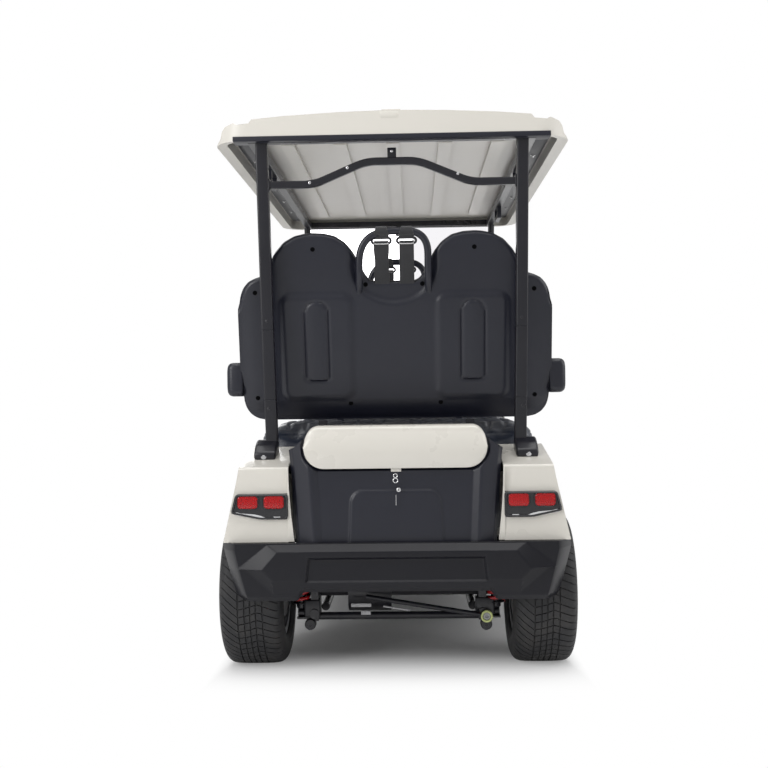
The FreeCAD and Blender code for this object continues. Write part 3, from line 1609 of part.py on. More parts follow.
def make_arm_rest(row_shift):
    rear = row_shift - s.seat_back_y - s.cut_over * 2
    inner = s.shell_half * 0.994 + s.fit_gap
    base = s.arm_rest_base
    top = base + s.arm_rest_height
    end = rear + s.arm_rest_length
    profile = (
        (rear, base, s.cut_over),
        (rear + s.arm_rest_thick * 1.6, base, s.cut_over),
        (rear + s.arm_rest_thick * 2.2, top - s.arm_rest_thick, s.cut_over),
        (end, top - s.arm_rest_thick, s.arm_rest_thick * 0.45),
        (end, top, s.arm_rest_thick * 0.45),
        (rear, top, s.cut_over),
    )
    return extruded("side", inner, s.arm_rest_outer - inner, profile)


def make_handle():
    # An arch of round tube behind the notch, in the backrest's own flat frame
    y = -s.shell_thickness - s.handle_radius - s.fit_gap
    half = s.handle_half
    return tube(((-half, y, s.handle_foot), (-half, y, s.handle_top), (half, y, s.handle_top),
                 (half, y, s.handle_foot)), s.handle_corner, s.handle_radius)


def make_belt(side):
    # A retractor on the notch's edge and its webbing up to the handle
    notch = s.shell_height * shell_outline_shares[0][1] + s.fit_gap
    x = side * s.belt_x
    half = s.belt_width / 2
    y = -s.shell_thickness - s.handle_radius - s.fit_gap
    box = block((x - s.retractor_width / 2, -s.retractor_depth, notch),
                (x + s.retractor_width / 2, 0, notch + s.retractor_height / 2))
    top = s.handle_top - s.handle_radius - s.fit_gap
    web = block((x - half, y - s.belt_thickness / 2, notch), (x + half, y + s.belt_thickness / 2, top))
    return fuse(box, web)


def roof_top_outline(drop):
    height = s.roof_crown - s.roof_lip_z
    half = [(s.roof_half * across, s.roof_lip_z + height * up) for across, up in roof_top_shares]
    return half


def make_roof():
    length = s.roof_rear + s.roof_front
    half = [(0, s.roof_lip_z)] + roof_top_outline(0)
    section = extruded("rear", -s.roof_rear, length, mirror_outline(half))
    plan = mirror_outline((
        (0, -s.roof_rear),
        (s.roof_half, -s.roof_rear, s.roof_corner),
        (s.roof_half, s.roof_front, s.roof_corner),
        (0, s.roof_front),
    ))
    above = extruded("top", s.roof_lip_z - s.cut_over, s.roof_crown - s.roof_lip_z + s.cut_over * 2, plan)
    recess_plan = mirror_outline((
        (0, -s.roof_rear + s.roof_recess_margin),
        (s.roof_recess_half, -s.roof_rear + s.roof_recess_margin, s.roof_corner / 2),
        (s.roof_recess_half, s.roof_front - s.roof_recess_margin, s.roof_corner / 2),
        (0, s.roof_front - s.roof_recess_margin),
    ))
    recess = extruded("top", s.roof_lip_z - s.cut_over, s.roof_recess_top - s.roof_lip_z + s.cut_over, recess_plan)
    ribs = []
    pitch = s.roof_recess_half * 2 / (counts["roof_ribs"] + 1)
    for index in range(counts["roof_ribs"]):
        x = -s.roof_recess_half + pitch * (index + 1)
        ribs.append(block((x - s.roof_rib_width / 2, -s.roof_rear + s.roof_corner * 2, s.roof_recess_top - s.roof_rib_depth),
                          (x + s.roof_rib_width / 2, s.roof_front - s.roof_corner * 2, s.roof_recess_top + s.fit_gap)))
    bump = block((-s.roof_block_width / 2, -s.roof_rear + s.cut_over, s.roof_crown - s.cut_over),
                 (s.roof_block_width / 2, -s.roof_rear + s.cut_over + s.roof_block_length,
                  s.roof_crown + s.roof_block_height))
    node("roof", fuse(cut(common(section, above), recess), bump, *ribs))


def make_roof_frame():
    top = s.roof_recess_top - s.roof_rib_depth - s.fit_gap
    rail_base = top - s.roof_rail_height
    inner = s.roof_rail_x - s.roof_rail_width / 2
    rear = s.roof_recess_margin + s.fit_gap - s.roof_rear
    front = s.roof_front - s.roof_recess_margin - s.fit_gap
    rail = block((inner, rear, rail_base), (inner + s.roof_rail_width, front, top))
    bars = []
    for start in (rear, front - s.roof_bar_depth):
        bars.append(block((-s.roof_rail_x, start, rail_base), (s.roof_rail_x, start + s.roof_bar_depth, top)))
    node("roof_frame", fuse(*both_sides(rail), *bars))


def fender_top_z(y):
    # Height of the sloping fender top, which carries the post feet
    rear_y = s.cut_over * 0.8 - s.fender_rear
    front_y = -s.fender_step_y - s.cut_over
    share = (y - rear_y) / (front_y - rear_y)
    return s.fender_crease_z + (s.fender_top - s.fender_crease_z) * share


def post_top():
    return s.roof_recess_top - s.roof_rib_depth - s.roof_rail_height - s.fit_gap * 2


def post_y(z):
    foot_z = fender_top_z(-s.post_foot_y)
    share = (z - foot_z) / (post_top() - foot_z)
    return (s.post_foot_y - s.post_top_y) * share - s.post_foot_y


def make_rear_posts():
    half = s.post_width / 2
    wall = s.foot_wall
    foot_y = -s.post_foot_y
    rear_y = foot_y - half - wall
    front_y = foot_y + half + wall * 3
    seat = s.fit_gap

    def standing(y, height):
        return (y, fender_top_z(y) + seat + height)

    post = extruded("side", s.post_x - half, s.post_width, (
        standing(foot_y - half, wall / 2),
        standing(foot_y + half, wall / 2),
        (-s.post_top_y + half, post_top()),
        (-s.post_top_y - half, post_top()),
    ))
    cheeks = extruded("side", s.post_x - s.foot_width / 2, s.foot_width, (
        standing(rear_y, 0),
        standing(front_y, 0),
        standing(front_y, s.foot_height * 0.4),
        standing(foot_y, s.foot_height),
        standing(rear_y, s.foot_height),
    ))
    between = extruded("side", s.post_x - half, s.post_width, (
        standing(rear_y - s.cut_over, wall),
        standing(front_y + s.cut_over, wall),
        standing(front_y + s.cut_over, s.foot_height * 2),
        standing(rear_y - s.cut_over, s.foot_height * 2),
    ))
    foot = cut(cheeks, between)
    y = post_y(s.brace_z)
    crest = s.brace_z + s.brace_rise
    brace = tube(((-s.post_x, y, s.brace_z), (-s.brace_break_half, y, s.brace_z), (-s.brace_flat_half, y, crest),
                  (s.brace_flat_half, y, crest), (s.brace_break_half, y, s.brace_z), (s.post_x, y, s.brace_z)),
                 s.brace_rise, s.brace_radius)
    tab = block((-s.brace_tab_width / 2, y - wall / 2, crest), (s.brace_tab_width / 2, y + wall / 2, post_top()))
    node("rear_posts", fuse(*both_sides(post), *both_sides(foot), brace, tab))


def screen_line():
    # The raked line of struts and screen, from its foot on the cowl to the roof frame
    foot_z = s.cowl_top + s.fit_gap
    top_z = s.roof_recess_top - s.roof_rib_depth - s.roof_rail_height - s.fit_gap * 2
    return foot_z, top_z


def make_front_posts():
    foot_z, top_z = screen_line()
    run = (s.strut_top_y - s.strut_foot_y) / (top_z - foot_z).value
    over = s.cut_over
    low = (s.strut_x, s.strut_foot_y - run * over.value, foot_z - over)
    high = (s.strut_x, s.strut_top_y + run * over.value, top_z + over)
    keep = block((s.strut_x - s.strut_radius * 2, -s.roof_rear, foot_z), (s.strut_x + s.strut_radius * 2, s.cowl_nose, top_z))
    node("front_posts", group(*both_sides(common(bar(low, high, s.strut_radius), keep))))


def make_windscreen():
    foot_z, top_z = screen_line()
    gap = s.strut_x - s.strut_radius - s.fit_gap
    outline = (
        (s.strut_foot_y, foot_z),
        (s.strut_foot_y + s.screen_thickness, foot_z),
        (s.strut_top_y + s.screen_thickness, top_z),
        (s.strut_top_y, top_z),
    )
    node("windscreen", extruded("side", -gap, gap * 2, outline))


def make_grips():
    rail_base = s.roof_recess_top - s.roof_rib_depth - s.fit_gap - s.roof_rail_height
    grips = []
    places = (
        (-s.roof_rail_x, -s.roof_rear + s.row_pitch / 2),
        (s.roof_rail_x, -s.roof_rear + s.row_pitch / 2),
        (s.roof_rail_x, -s.roof_rear + s.row_pitch * 1.5),
    )
    for x, y in places:
        low = rail_base - s.grip_drop
        top = rail_base - s.fit_gap
        bar_width = s.grip_radius * 2
        profile = (
            (y, top),
            (y, low, bar_width),
            (y + s.grip_length, low, bar_width),
            (y + s.grip_length, top),
            (y + s.grip_length - bar_width, top),
            (y + s.grip_length - bar_width, low + bar_width),
            (y + bar_width, low + bar_width),
            (y + bar_width, top),
        )
        grips.append(extruded("side", x - s.grip_radius, bar_width, profile))
    node("assist_grips", group(*grips))


make_wheels()
make_frame()
make_front_arms()
make_knuckle("left", -1)
make_knuckle("right", 1)
make_tie_rod()
make_steering_rack()
make_rear_axle()
make_motor()
make_rear_gear()
make_battery()
make_floor()
make_rockers()
make_cowl()
make_front_end()
make_dashboard()
make_steering_column()
make_steering_wheel()
make_pedals()
make_fenders()
make_tail_lamps()
make_rear_box()
make_lid()
make_rear_bumper()
make_rear_seat_base()
make_front_seat_base()
make_seats()
make_roof()
make_roof_frame()
make_rear_posts()
make_front_posts()
make_windscreen()
make_grips()

doc.recompute()
os.makedirs("parts", exist_ok=True)
for item in doc.Objects:
    if "Invalid" in item.State or "Error" in item.State:
        raise RuntimeError("failed object: " + item.Name + " in " + str([user.Label for user in item.InListRecursive]))
for label, item in nodes.items():
    shape = item.Shape
    if shape.isNull() or not shape.isValid():
        raise RuntimeError("bad shape: " + label)
    print(label, len(shape.Solids), round(shape.Volume / 1000), "cm3")
    shape.exportStep("parts/" + label + ".step")
print("nodes", len(nodes))
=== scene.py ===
import json
import math

import bmesh
import bpy
import numpy as np
from mathutils import Matrix, Vector


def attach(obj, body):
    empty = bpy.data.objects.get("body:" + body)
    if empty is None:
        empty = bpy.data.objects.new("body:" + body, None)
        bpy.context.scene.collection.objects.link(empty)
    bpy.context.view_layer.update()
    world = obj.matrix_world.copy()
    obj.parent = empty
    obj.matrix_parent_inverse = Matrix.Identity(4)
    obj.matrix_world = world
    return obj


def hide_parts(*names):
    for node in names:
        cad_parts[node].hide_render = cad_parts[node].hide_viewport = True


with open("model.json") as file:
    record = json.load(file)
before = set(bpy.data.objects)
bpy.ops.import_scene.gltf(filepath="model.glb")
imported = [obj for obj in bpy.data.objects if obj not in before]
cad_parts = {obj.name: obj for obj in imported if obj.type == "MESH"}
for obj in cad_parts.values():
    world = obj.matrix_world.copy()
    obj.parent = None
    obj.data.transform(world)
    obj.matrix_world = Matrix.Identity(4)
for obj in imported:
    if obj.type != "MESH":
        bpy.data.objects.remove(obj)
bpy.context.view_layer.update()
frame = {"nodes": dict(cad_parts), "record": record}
nodes = frame["nodes"]
scene = bpy.context.scene

# camera

camera = {"place": (0.061, -4.975, 0.972), "lens": 50.39, "sensor": 36.0, "clip": (0.05, 120),
          "yaw": 1.545, "pitch": 0.08, "roll": 0.8}  # degrees


def placeObject(name, data):
    obj = bpy.data.objects.new(name, data)
    scene.collection.objects.link(obj)
    return obj


def makeCamera(spec):
    data = bpy.data.cameras.new("rearCamera")
    data.lens, data.sensor_width = spec["lens"], spec["sensor"]
    data.clip_start, data.clip_end = spec["clip"]
    yaw, pitch, roll = (math.radians(spec[k]) for k in ("yaw", "pitch", "roll"))
    ahead = Vector((-math.sin(yaw) * math.cos(pitch), math.cos(yaw) * math.cos(pitch), math.sin(pitch)))
    right = ahead.cross(Vector((0, 0, 1))).normalized()
    up = (right.cross(ahead) + right * math.tan(roll)).normalized()
    turn = Matrix((ahead.cross(up).normalized(), up, -ahead)).transposed().to_4x4()
    scene.camera = placeObject("rearCamera", data)
    scene.camera.matrix_world = Matrix.Translation(spec["place"]) @ turn


makeCamera(camera)
print("camera placed")

# shared shader groups


def feed(tree, step, inputs):  # a value or a link for each input
    for key, value in inputs.items():
        if isinstance(value, bpy.types.NodeSocket):
            tree.links.new(value, step.inputs[key])
        else:
            step.inputs[key].default_value = value


def addStep(tree, kind, inputs=None, **settings):
    step = tree.nodes.new("ShaderNode" + kind)
    for key, value in settings.items():
        setattr(step, key, value)
    feed(tree, step, inputs or {})
    return step.outputs


def addMath(tree, operation, first, second=0.0, clamp=False):
    return addStep(tree, "Math", {0: first, 1: second}, operation=operation, use_clamp=clamp)[0]


def addRange(tree, value, low, high, toLow=0.0, toHigh=1.0):
    return addStep(tree, "MapRange", {"Value": value, "From Min": low, "From Max": high, "To Min": toLow,
                                      "To Max": toHigh}, interpolation_type="SMOOTHSTEP")[0]


def addNoise(tree, vector, scale, detail=3.0, rough=0.55):
    return addStep(tree, "TexNoise", {"Vector": vector, "Scale": scale, "Detail": detail, "Roughness": rough})["Fac"]


def addMix(tree, share, hue, color):
    return addStep(tree, "Mix", {"Factor": share, "A": hue, "B": (*color, 1)}, data_type="RGBA")["Result"]


def startGroup(name, inputs, outputs):
    group = bpy.data.node_groups.new(name, "ShaderNodeTree")
    for way, labels in (("INPUT", inputs), ("OUTPUT", dict.fromkeys(outputs))):
        for label, value in labels.items():
            kind = "NodeSocket" + (label if label in ("Vector", "Color") else "Float")
            socket = group.interface.new_socket(label, in_out=way, socket_type=kind)
            if value is not None:
                socket.default_value = value
    return group, group.nodes.new("NodeGroupInput").outputs, group.nodes.new("NodeGroupOutput")


def buildGrain():  # fine pebbled moulding grain
    g, i, o = startGroup("mouldGrain", {"Vector": None, "Scale": 900.0}, ("Height",))
    cells = addStep(g, "TexVoronoi", {"Vector": i["Vector"], "Scale": i["Scale"]}, feature="SMOOTH_F1")
    fine = addMath(g, "MULTIPLY", addNoise(g, i["Vector"], i["Scale"], 2.0), 0.6)
    feed(g, o, {"Height": addMath(g, "ADD", cells["Distance"], fine)})
    return g


def buildTone():  # slow shift of lightness and roughness over a surface
    g, i, o = startGroup("slowTone", {"Vector": None, "Color": None, "Scale": 3.0, "Shift": 0.08, "Rough": 0.4,
                                      "Rough Shift": 0.06}, ("Color", "Roughness"))
    centred = addMath(g, "SUBTRACT", addNoise(g, i["Vector"], i["Scale"], 5.0, 0.6), 0.5)

    def swing(start, shift, clamp=False):
        return addMath(g, "ADD", start, addMath(g, "MULTIPLY", centred, addMath(g, "MULTIPLY", shift, 4.0)), clamp)
    tint = addStep(g, "VectorMath", {0: i["Color"], "Scale": swing(1.0, i["Shift"])}, operation="SCALE")[0]
    feed(g, o, {"Color": tint, "Roughness": swing(i["Rough"], i["Rough Shift"], True)})
    return g


def buildDust():  # thin dust on surfaces that face up, and low down
    g, i, o = startGroup("roadDust", {"Vector": None, "Color": None, "Roughness": 0.4, "Amount": 0.1},
                         ("Color", "Roughness"))
    around = addStep(g, "NewGeometry")
    facing = addRange(g, addStep(g, "SeparateXYZ", {0: around["Normal"]})["Z"], 0.2, 1.0)
    low = addRange(g, addStep(g, "SeparateXYZ", {0: around["Position"]})["Z"], 0.1, 0.5, 1.0, 0.15)
    spots = addRange(g, addNoise(g, i["Vector"], 14.0, 6.0, 0.7), 0.42, 0.66)
    both = addMath(g, "MULTIPLY", addMath(g, "MAXIMUM", facing, low), spots)
    mask = addMath(g, "MULTIPLY", both, i["Amount"], True)
    feed(g, o, {"Color": addMix(g, mask, i["Color"], (0.33, 0.30, 0.26)),
                "Roughness": addMath(g, "ADD", i["Roughness"], addMath(g, "MULTIPLY", mask, 0.5), True)})
    return g


def buildWear():  # mask on rubbed outer edges
    g, i, o = startGroup("edgeWear", {"Vector": None, "Width": 0.0015, "Amount": 0.5}, ("Mask",))
    soft = addStep(g, "Bevel", {"Radius": i["Width"]}, samples=4)[0]
    dot = addStep(g, "VectorMath", {0: soft, 1: addStep(g, "NewGeometry")["Normal"]}, operation="DOT_PRODUCT")
    edge = addRange(g, dot["Value"], 0.995, 0.93)
    broken = addRange(g, addNoise(g, i["Vector"], 60.0, 5.0, 0.7), 0.42, 0.62)
    feed(g, o, {"Mask": addMath(g, "MULTIPLY", addMath(g, "MULTIPLY", edge, broken), i["Amount"], True)})
    return g


def buildHide():  # creased grain of seat vinyl
    g, i, o = startGroup("hideGrain", {"Vector": None, "Scale": 260.0}, ("Height",))
    cells = addStep(g, "TexVoronoi", {"Vector": i["Vector"], "Scale": i["Scale"]}, feature="DISTANCE_TO_EDGE")
    slow = addMath(g, "MULTIPLY", addNoise(g, i["Vector"], 22.0), 1.5)
    feed(g, o, {"Height": addMath(g, "ADD", addRange(g, cells["Distance"], 0.0, 0.28), slow)})
    return g


def buildWeave():  # two crossing sets of threads, laid on the three planes
    g, i, o = startGroup("strapWeave", {"Vector": None, "Pitch": 0.0016}, ("Height",))
    parts = addStep(g, "SeparateXYZ", {0: i["Vector"]})
    turnsPer = addMath(g, "DIVIDE", 6.2832, i["Pitch"])
    x, y, z = (addMath(g, "SINE", addMath(g, "MULTIPLY", parts[axis], turnsPer)) for axis in "XYZ")
    along = addMath(g, "MULTIPLY", x, addMath(g, "ADD", y, z))
    feed(g, o, {"Height": addMath(g, "MULTIPLY", along, 0.5)})
    return g


groups = {"grain": buildGrain(), "tone": buildTone(), "dust": buildDust(), "wear": buildWear(),
          "hide": buildHide(), "weave": buildWeave()}

# materials

finishes = {}
wearWidth = 0.0012
toneScale = 3.0


def startFinish(name):
    mat = bpy.data.materials.new(name)
    mat.use_nodes = True
    finishes[name] = mat
    tree = mat.node_tree
    return tree, tree.nodes["Principled BSDF"], addStep(tree, "TexCoord")["Object"]


def useGroup(tree, key, inputs):
    return addStep(tree, "Group", inputs, node_tree=groups[key])


def makeFinish(name, color, rough, metal=0.0, coat=0.0, coatRough=0.1, specular=0.5, toneShift=0.06, roughShift=0.05,
               dust=0.0, wear=0.0, wearTone=(0.06, 0.06, 0.065), relief=None, bump=0.15, bumpDistance=0.0003,
               sheen=0.0):
    tree, shader, coords = startFinish(name)
    feed(tree, shader, {"Metallic": metal, "Coat Weight": coat, "Coat Roughness": coatRough,
                        "Specular IOR Level": specular, "Sheen Weight": sheen})
    tone = useGroup(tree, "tone", {"Vector": coords, "Color": (*color, 1), "Scale": toneScale, "Shift": toneShift,
                                   "Rough": rough, "Rough Shift": roughShift})
    hue, dull = tone["Color"], tone["Roughness"]
    if wear:
        rubbed = useGroup(tree, "wear", {"Vector": coords, "Width": wearWidth, "Amount": wear})["Mask"]
        hue = addMix(tree, rubbed, hue, wearTone)
    if dust:
        film = useGroup(tree, "dust", {"Vector": coords, "Color": hue, "Roughness": dull, "Amount": dust})
        hue, dull = film["Color"], film["Roughness"]
    feed(tree, shader, {"Base Color": hue, "Roughness": dull})
    if relief:  # a group and its scale or pitch
        height = useGroup(tree, relief[0], {0: coords, 1: relief[1]})["Height"]
        rise = addStep(tree, "Bump", {"Strength": bump, "Distance": bumpDistance, "Height": height})
        feed(tree, shader, {"Normal": rise[0]})


def makeClear(name, color, rough, ior, transmission=1.0):
    tree, shader, coords = startFinish(name)
    tone = useGroup(tree, "tone", {"Vector": coords, "Color": (*color, 1), "Scale": 4.0, "Shift": 0.01,
                                   "Rough": rough, "Rough Shift": 0.01})
    feed(tree, shader, {"Transmission Weight": transmission, "IOR": ior, "Base Color": tone["Color"],
                        "Roughness": tone["Roughness"]})


makeFinish("bodyPaint", (0.66, 0.635, 0.58), 0.28, coat=0.6, coatRough=0.06, toneShift=0.004, roughShift=0.02)
makeFinish("roofMoulding", (0.66, 0.635, 0.58), 0.42, coat=0.2, coatRough=0.2, toneShift=0.006, dust=0.015,
           relief=("grain", 500.0), bump=0.05)
makeFinish("blackMoulding", (0.0095, 0.0105, 0.0190), 0.34, toneShift=0.08, roughShift=0.04, dust=0.02, wear=0.35,
           relief=("grain", 900.0), bump=0.22)
# painted shade: the bumper takes a darker, less shiny copy of the black moulding, standing for light it lacks
makeFinish("bumperShadedMoulding", (0.005, 0.005, 0.0085), 0.36, specular=0.32, toneShift=0.08, roughShift=0.04, wear=0.35,
           relief=("grain", 900.0), bump=0.22)
makeFinish("blackSteel", (0.009, 0.009, 0.0135), 0.30, toneShift=0.08, dust=0.03, wear=0.4,
           wearTone=(0.10, 0.10, 0.11), relief=("grain", 1400.0), bump=0.08)
makeFinish("greyMoulding", (0.42, 0.42, 0.43), 0.45, toneShift=0.03)
makeFinish("seatVinyl", (0.016, 0.022, 0.040), 0.30, coat=0.5, coatRough=0.2, toneShift=0.1, relief=("hide", 300.0),
           bump=0.3, bumpDistance=0.0006, sheen=0.1)
makeFinish("webbing", (0.016, 0.016, 0.019), 0.75, toneShift=0.12, relief=("weave", 0.0022), bump=0.6,
           bumpDistance=0.0006, sheen=0.4)
makeFinish("tyreRubber", (0.013, 0.013, 0.015), 0.62, toneShift=0.12, dust=0.05, relief=("grain", 700.0), bump=0.2,
           wear=0.3, wearTone=(0.07, 0.07, 0.07))
makeFinish("rimAlloy", (0.50, 0.51, 0.53), 0.3, metal=0.9, toneShift=0.04, dust=0.12)
makeFinish("bareMetal", (0.45, 0.45, 0.46), 0.45, metal=0.8, toneShift=0.12, roughShift=0.1, dust=0.2,
           relief=("grain", 500.0), bump=0.25)
makeFinish("brightMetal", (0.72, 0.72, 0.73), 0.18, metal=1.0, toneShift=0.03)
makeFinish("redSteel", (0.42, 0.010, 0.014), 0.32, coat=0.4, toneShift=0.08, dust=0.06)
makeFinish("matRubber", (0.02, 0.02, 0.022), 0.7, toneShift=0.1, dust=0.12, relief=("weave", 0.018), bump=0.7,
           bumpDistance=0.002)
# painted shade: a matte near-black for the dark inside the backrest screw holes and the key slot
makeFinish("holeShadeBlack", (0.0015, 0.0015, 0.002), 0.8, specular=0.05, toneShift=0.05)
makeFinish("lampBlack", (0.010, 0.010, 0.013), 0.22, coat=0.5, coatRough=0.08, toneShift=0.04)
makeFinish("lampGlow", (0.72, 0.05, 0.03), 0.22, metal=0.35, toneShift=0.05)
makeFinish("lampWhite", (0.78, 0.79, 0.80), 0.12, metal=0.6, coat=0.5, toneShift=0.02)
makeFinish("markPaint", (0.62, 0.68, 0.28), 0.4, toneShift=0.08, dust=0.1)
makeClear("clearSheet", (0.93, 0.92, 0.94), 0.04, 1.05)
makeClear("clearLens", (0.95, 0.95, 0.96), 0.03, 1.45)
makeClear("redLens", (0.75, 0.015, 0.02), 0.12, 1.45, 0.7)

slotFinish = {"body_paint": "bodyPaint", "black_plastic": "blackMoulding", "black_steel": "blackSteel",
              "grey_plastic": "greyMoulding", "seat_vinyl": "seatVinyl", "webbing": "webbing",
              "tyre_rubber": "tyreRubber", "rim_alloy": "rimAlloy", "bare_metal": "bareMetal",
              "red_spring": "redSteel", "lamp_red": "redLens", "lamp_clear": "clearLens", "screen": "clearSheet",
              "rubber_mat": "matRubber"}
finishSlot = {finish: slotName for slotName, finish in slotFinish.items()}  # the slot of each listed finish; nothing further in this script reads it
finishSlot.update({"roofMoulding": "body_paint", "brightMetal": "bare_metal", "markPaint": "bare_metal",
                   "lampGlow": "lamp_red", "lampWhite": "lamp_clear"})
nodeFinish = {"roof": "roofMoulding", "rear_axle": "blackSteel", "rear_links": "blackSteel"}
nodeSlots = {part["node"]: part["material_slot"] for part in frame["record"]["subparts"]}
for label, obj in nodes.items():
    obj.data.materials.clear()
    obj.data.materials.append(finishes[nodeFinish.get(label, slotFinish[nodeSlots[label]])])
print("materials made")

# floor and lights

stageSpec = {"floorHalf": 40.0, "floorTone": 0.86, "toneSwing": 0.01, "whiteAcross": (0.56, 0.64),
             "whiteAlong": (1.0, 1.62), "white": (1, 1, 1, 1), "around": 0.55}
lamps = {  # place, aim, size, watts
    "overhead": ((0.0, -1.4, 4.6), (0, -0.4, 0.8), (4.5, 4.0), 130),
    "rearSoft": ((-3.4, -4.2, 2.4), (0, -0.8, 0.7), (1.8, 2.6), 80),
    "roofSoft": ((0.3, 3.6, 0.5), (0, -0.5, 1.85), (2.0, 0.8), 7),
    "rightSoft": ((4.2, -1.5, 2.6), (0, 0, 0.8), (3.0, 3.0), 50),
    "frontSoft": ((-1.5, 5.0, 3.0), (0, 0.5, 0.8), (3.5, 3.0), 70)}


def makeFloor(spec):
    half, tone, swing = spec["floorHalf"], spec["floorTone"], spec["toneSwing"]
    mesh = bpy.data.meshes.new("floor")
    mesh.from_pydata([(-half, -half, 0), (half, -half, 0), (half, half, 0), (-half, half, 0)], [], [(0, 1, 2, 3)])
    tree, shader, coords = startFinish("paleFloor")
    speckle = addRange(tree, addNoise(tree, coords, 30.0, 4.0), 0.0, 1.0, tone - swing, tone + swing)
    pale = addStep(tree, "CombineColor", dict.fromkeys(("Red", "Green", "Blue"), speckle))[0]
    feed(tree, shader, {"Roughness": 0.9, "Specular IOR Level": 0.1, "Base Color": pale})
    place = addStep(tree, "SeparateXYZ", {0: coords})
    across = addRange(tree, addMath(tree, "ABSOLUTE", place["X"]), *spec["whiteAcross"])
    along = addRange(tree, addMath(tree, "ABSOLUTE", place["Y"]), *spec["whiteAlong"])
    far = addMath(tree, "MAXIMUM", across, along)
    seen = addMath(tree, "MULTIPLY", far, addStep(tree, "LightPath")["Is Camera Ray"])
    glow = addStep(tree, "Emission", {"Color": spec["white"], "Strength": 1.0})[0]
    mix = addStep(tree, "MixShader", {0: seen, 1: shader.outputs[0], 2: glow})[0]
    feed(tree, tree.nodes["Material Output"], {"Surface": mix})
    mesh.materials.append(finishes["paleFloor"])
    placeObject("floor", mesh)


def makeWorld(spec):
    world = bpy.data.worlds.new("studio")
    scene.world = world
    world.use_nodes = True
    tree = world.node_tree
    plain = tree.nodes["Background"]
    feed(tree, plain, {"Color": spec["white"], "Strength": spec["around"]})
    bright = addStep(tree, "Background", {"Color": spec["white"], "Strength": 1.0})[0]
    rays = addStep(tree, "LightPath")
    seen = addMath(tree, "MAXIMUM", rays["Is Camera Ray"], rays["Is Transmission Ray"])
    mix = addStep(tree, "MixShader", {0: seen, 1: plain.outputs[0], 2: bright})[0]
    feed(tree, tree.nodes["World Output"], {"Surface": mix})


def makeLight(name, place, aim, size, watts):
    data = bpy.data.lights.new(name, "AREA")
    data.shape, data.energy = "RECTANGLE", watts
    data.size, data.size_y = size
    obj = placeObject(name, data)
    obj.location = place
    obj.rotation_euler = (Vector(aim) - Vector(place)).to_track_quat("-Z", "Y").to_euler()


makeFloor(stageSpec)
makeWorld(stageSpec)
for name, lamp in lamps.items():
    makeLight(name, *lamp)
scene.view_settings.view_transform = "Standard"
print("floor and lights placed")

# mesh helpers


def newKit():
    return {"verts": [], "faces": []}


def pour(kit, verts, faces):
    start = len(kit["verts"])
    kit["verts"] += verts
    kit["faces"] += [[i + start for i in face] for face in faces]


def gridCells(rows, columns):
    return [[r * columns + c, r * columns + c + 1, (r + 1) * columns + c + 1, (r + 1) * columns + c]
            for r in range(rows - 1) for c in range(columns - 1)]


def loft(kit, rings, capped=True):  # closed rings, skinned one to the next
    count, last = len(rings[0]), len(rings) - 1
    faces = [[r * count + i, r * count + (i + 1) % count, (r + 1) * count + (i + 1) % count, (r + 1) * count + i]
             for r in range(last) for i in range(count)]
    if capped:
        faces += [list(range(count))[::-1], [last * count + i for i in range(count)]]
    pour(kit, [p for ring in rings for p in ring], faces)


def circle(radius, count):
    turns = [2 * math.pi * i / count for i in range(count)]
    return [(radius * math.cos(turn), radius * math.sin(turn)) for turn in turns]


def lathe(kit, profile, centre, axis, count=32, closed=False):  # profile is (radius, height) along the axis
    place = Matrix.Translation(centre) @ Vector(axis).to_track_quat("Z", "Y").to_matrix().to_4x4()
    rings = [[place @ Vector((x, y, height)) for x, y in circle(radius, count)] for radius, height in profile]
    if closed:
        rings.append(rings[0])
    loft(kit, rings, not closed)


def boltHead(kit, centre, axis, radius, height):
    lathe(kit, [(radius * 1.5, 0), (radius * 1.5, height * 0.25), (radius * 1.02, height * 0.3)], centre, axis, 20)
    lathe(kit, [(radius, height * 0.2), (radius, height * 0.85), (radius * 0.85, height)], centre, axis, 6)


def roundedRing(halfX, halfY, radius, steps=6):  # a rounded rectangle about the origin
    radius = min(radius, halfX * 0.999, halfY * 0.999)
    ring = []
    for cx, cy, start in ((1, 1, 0), (-1, 1, 90), (-1, -1, 180), (1, -1, 270)):
        for i in range(steps + 1):
            turn = math.radians(start + 90 * i / steps)
            ring.append((cx * (halfX - radius) + radius * math.cos(turn),
                         cy * (halfY - radius) + radius * math.sin(turn)))
    return ring


def softBox(kit, centre, size, radius=0.004, edge=0.002):  # a block with rounded corners and edges
    halfX, halfY, halfZ = (v / 2 for v in size)
    place = Matrix.Translation(centre)
    rings = []
    for lift, shrink in ((-halfZ, edge), (-halfZ + edge * 0.3, edge * 0.3), (-halfZ + edge, 0), (halfZ - edge, 0),
                         (halfZ - edge * 0.3, edge * 0.3), (halfZ, edge)):
        flat = roundedRing(halfX - shrink, halfY - shrink, max(radius - shrink, 0.0002), 4)
        rings.append([place @ Vector((x, y, lift)) for x, y in flat])
    loft(kit, rings)


def runAlong(points, closed=False):  # frames carried along a line with no twist
    points = [Vector(p) for p in points]
    count = len(points)
    found = []
    side = None
    for i, p in enumerate(points):
        before = points[i - 1] if (i or closed) else p
        after = points[(i + 1) % count] if (i < count - 1 or closed) else p
        ahead = (after - before).normalized()
        if side is None:
            side = ahead.cross(Vector((0, 0, 1)) if abs(ahead.z) < 0.9 else Vector((0, 1, 0))).normalized()
        side = (side - ahead * side.dot(ahead)).normalized()
        found.append((p, side, ahead.cross(side).normalized()))
    return found


def tubeRun(kit, points, radius, sides=14, closed=False):
    rings = [[p + (side * x + lift * y) * radius for x, y in circle(1, sides)]
             for p, side, lift in runAlong(points, closed)]
    if closed:
        rings.append(rings[0])
    loft(kit, rings, not closed)


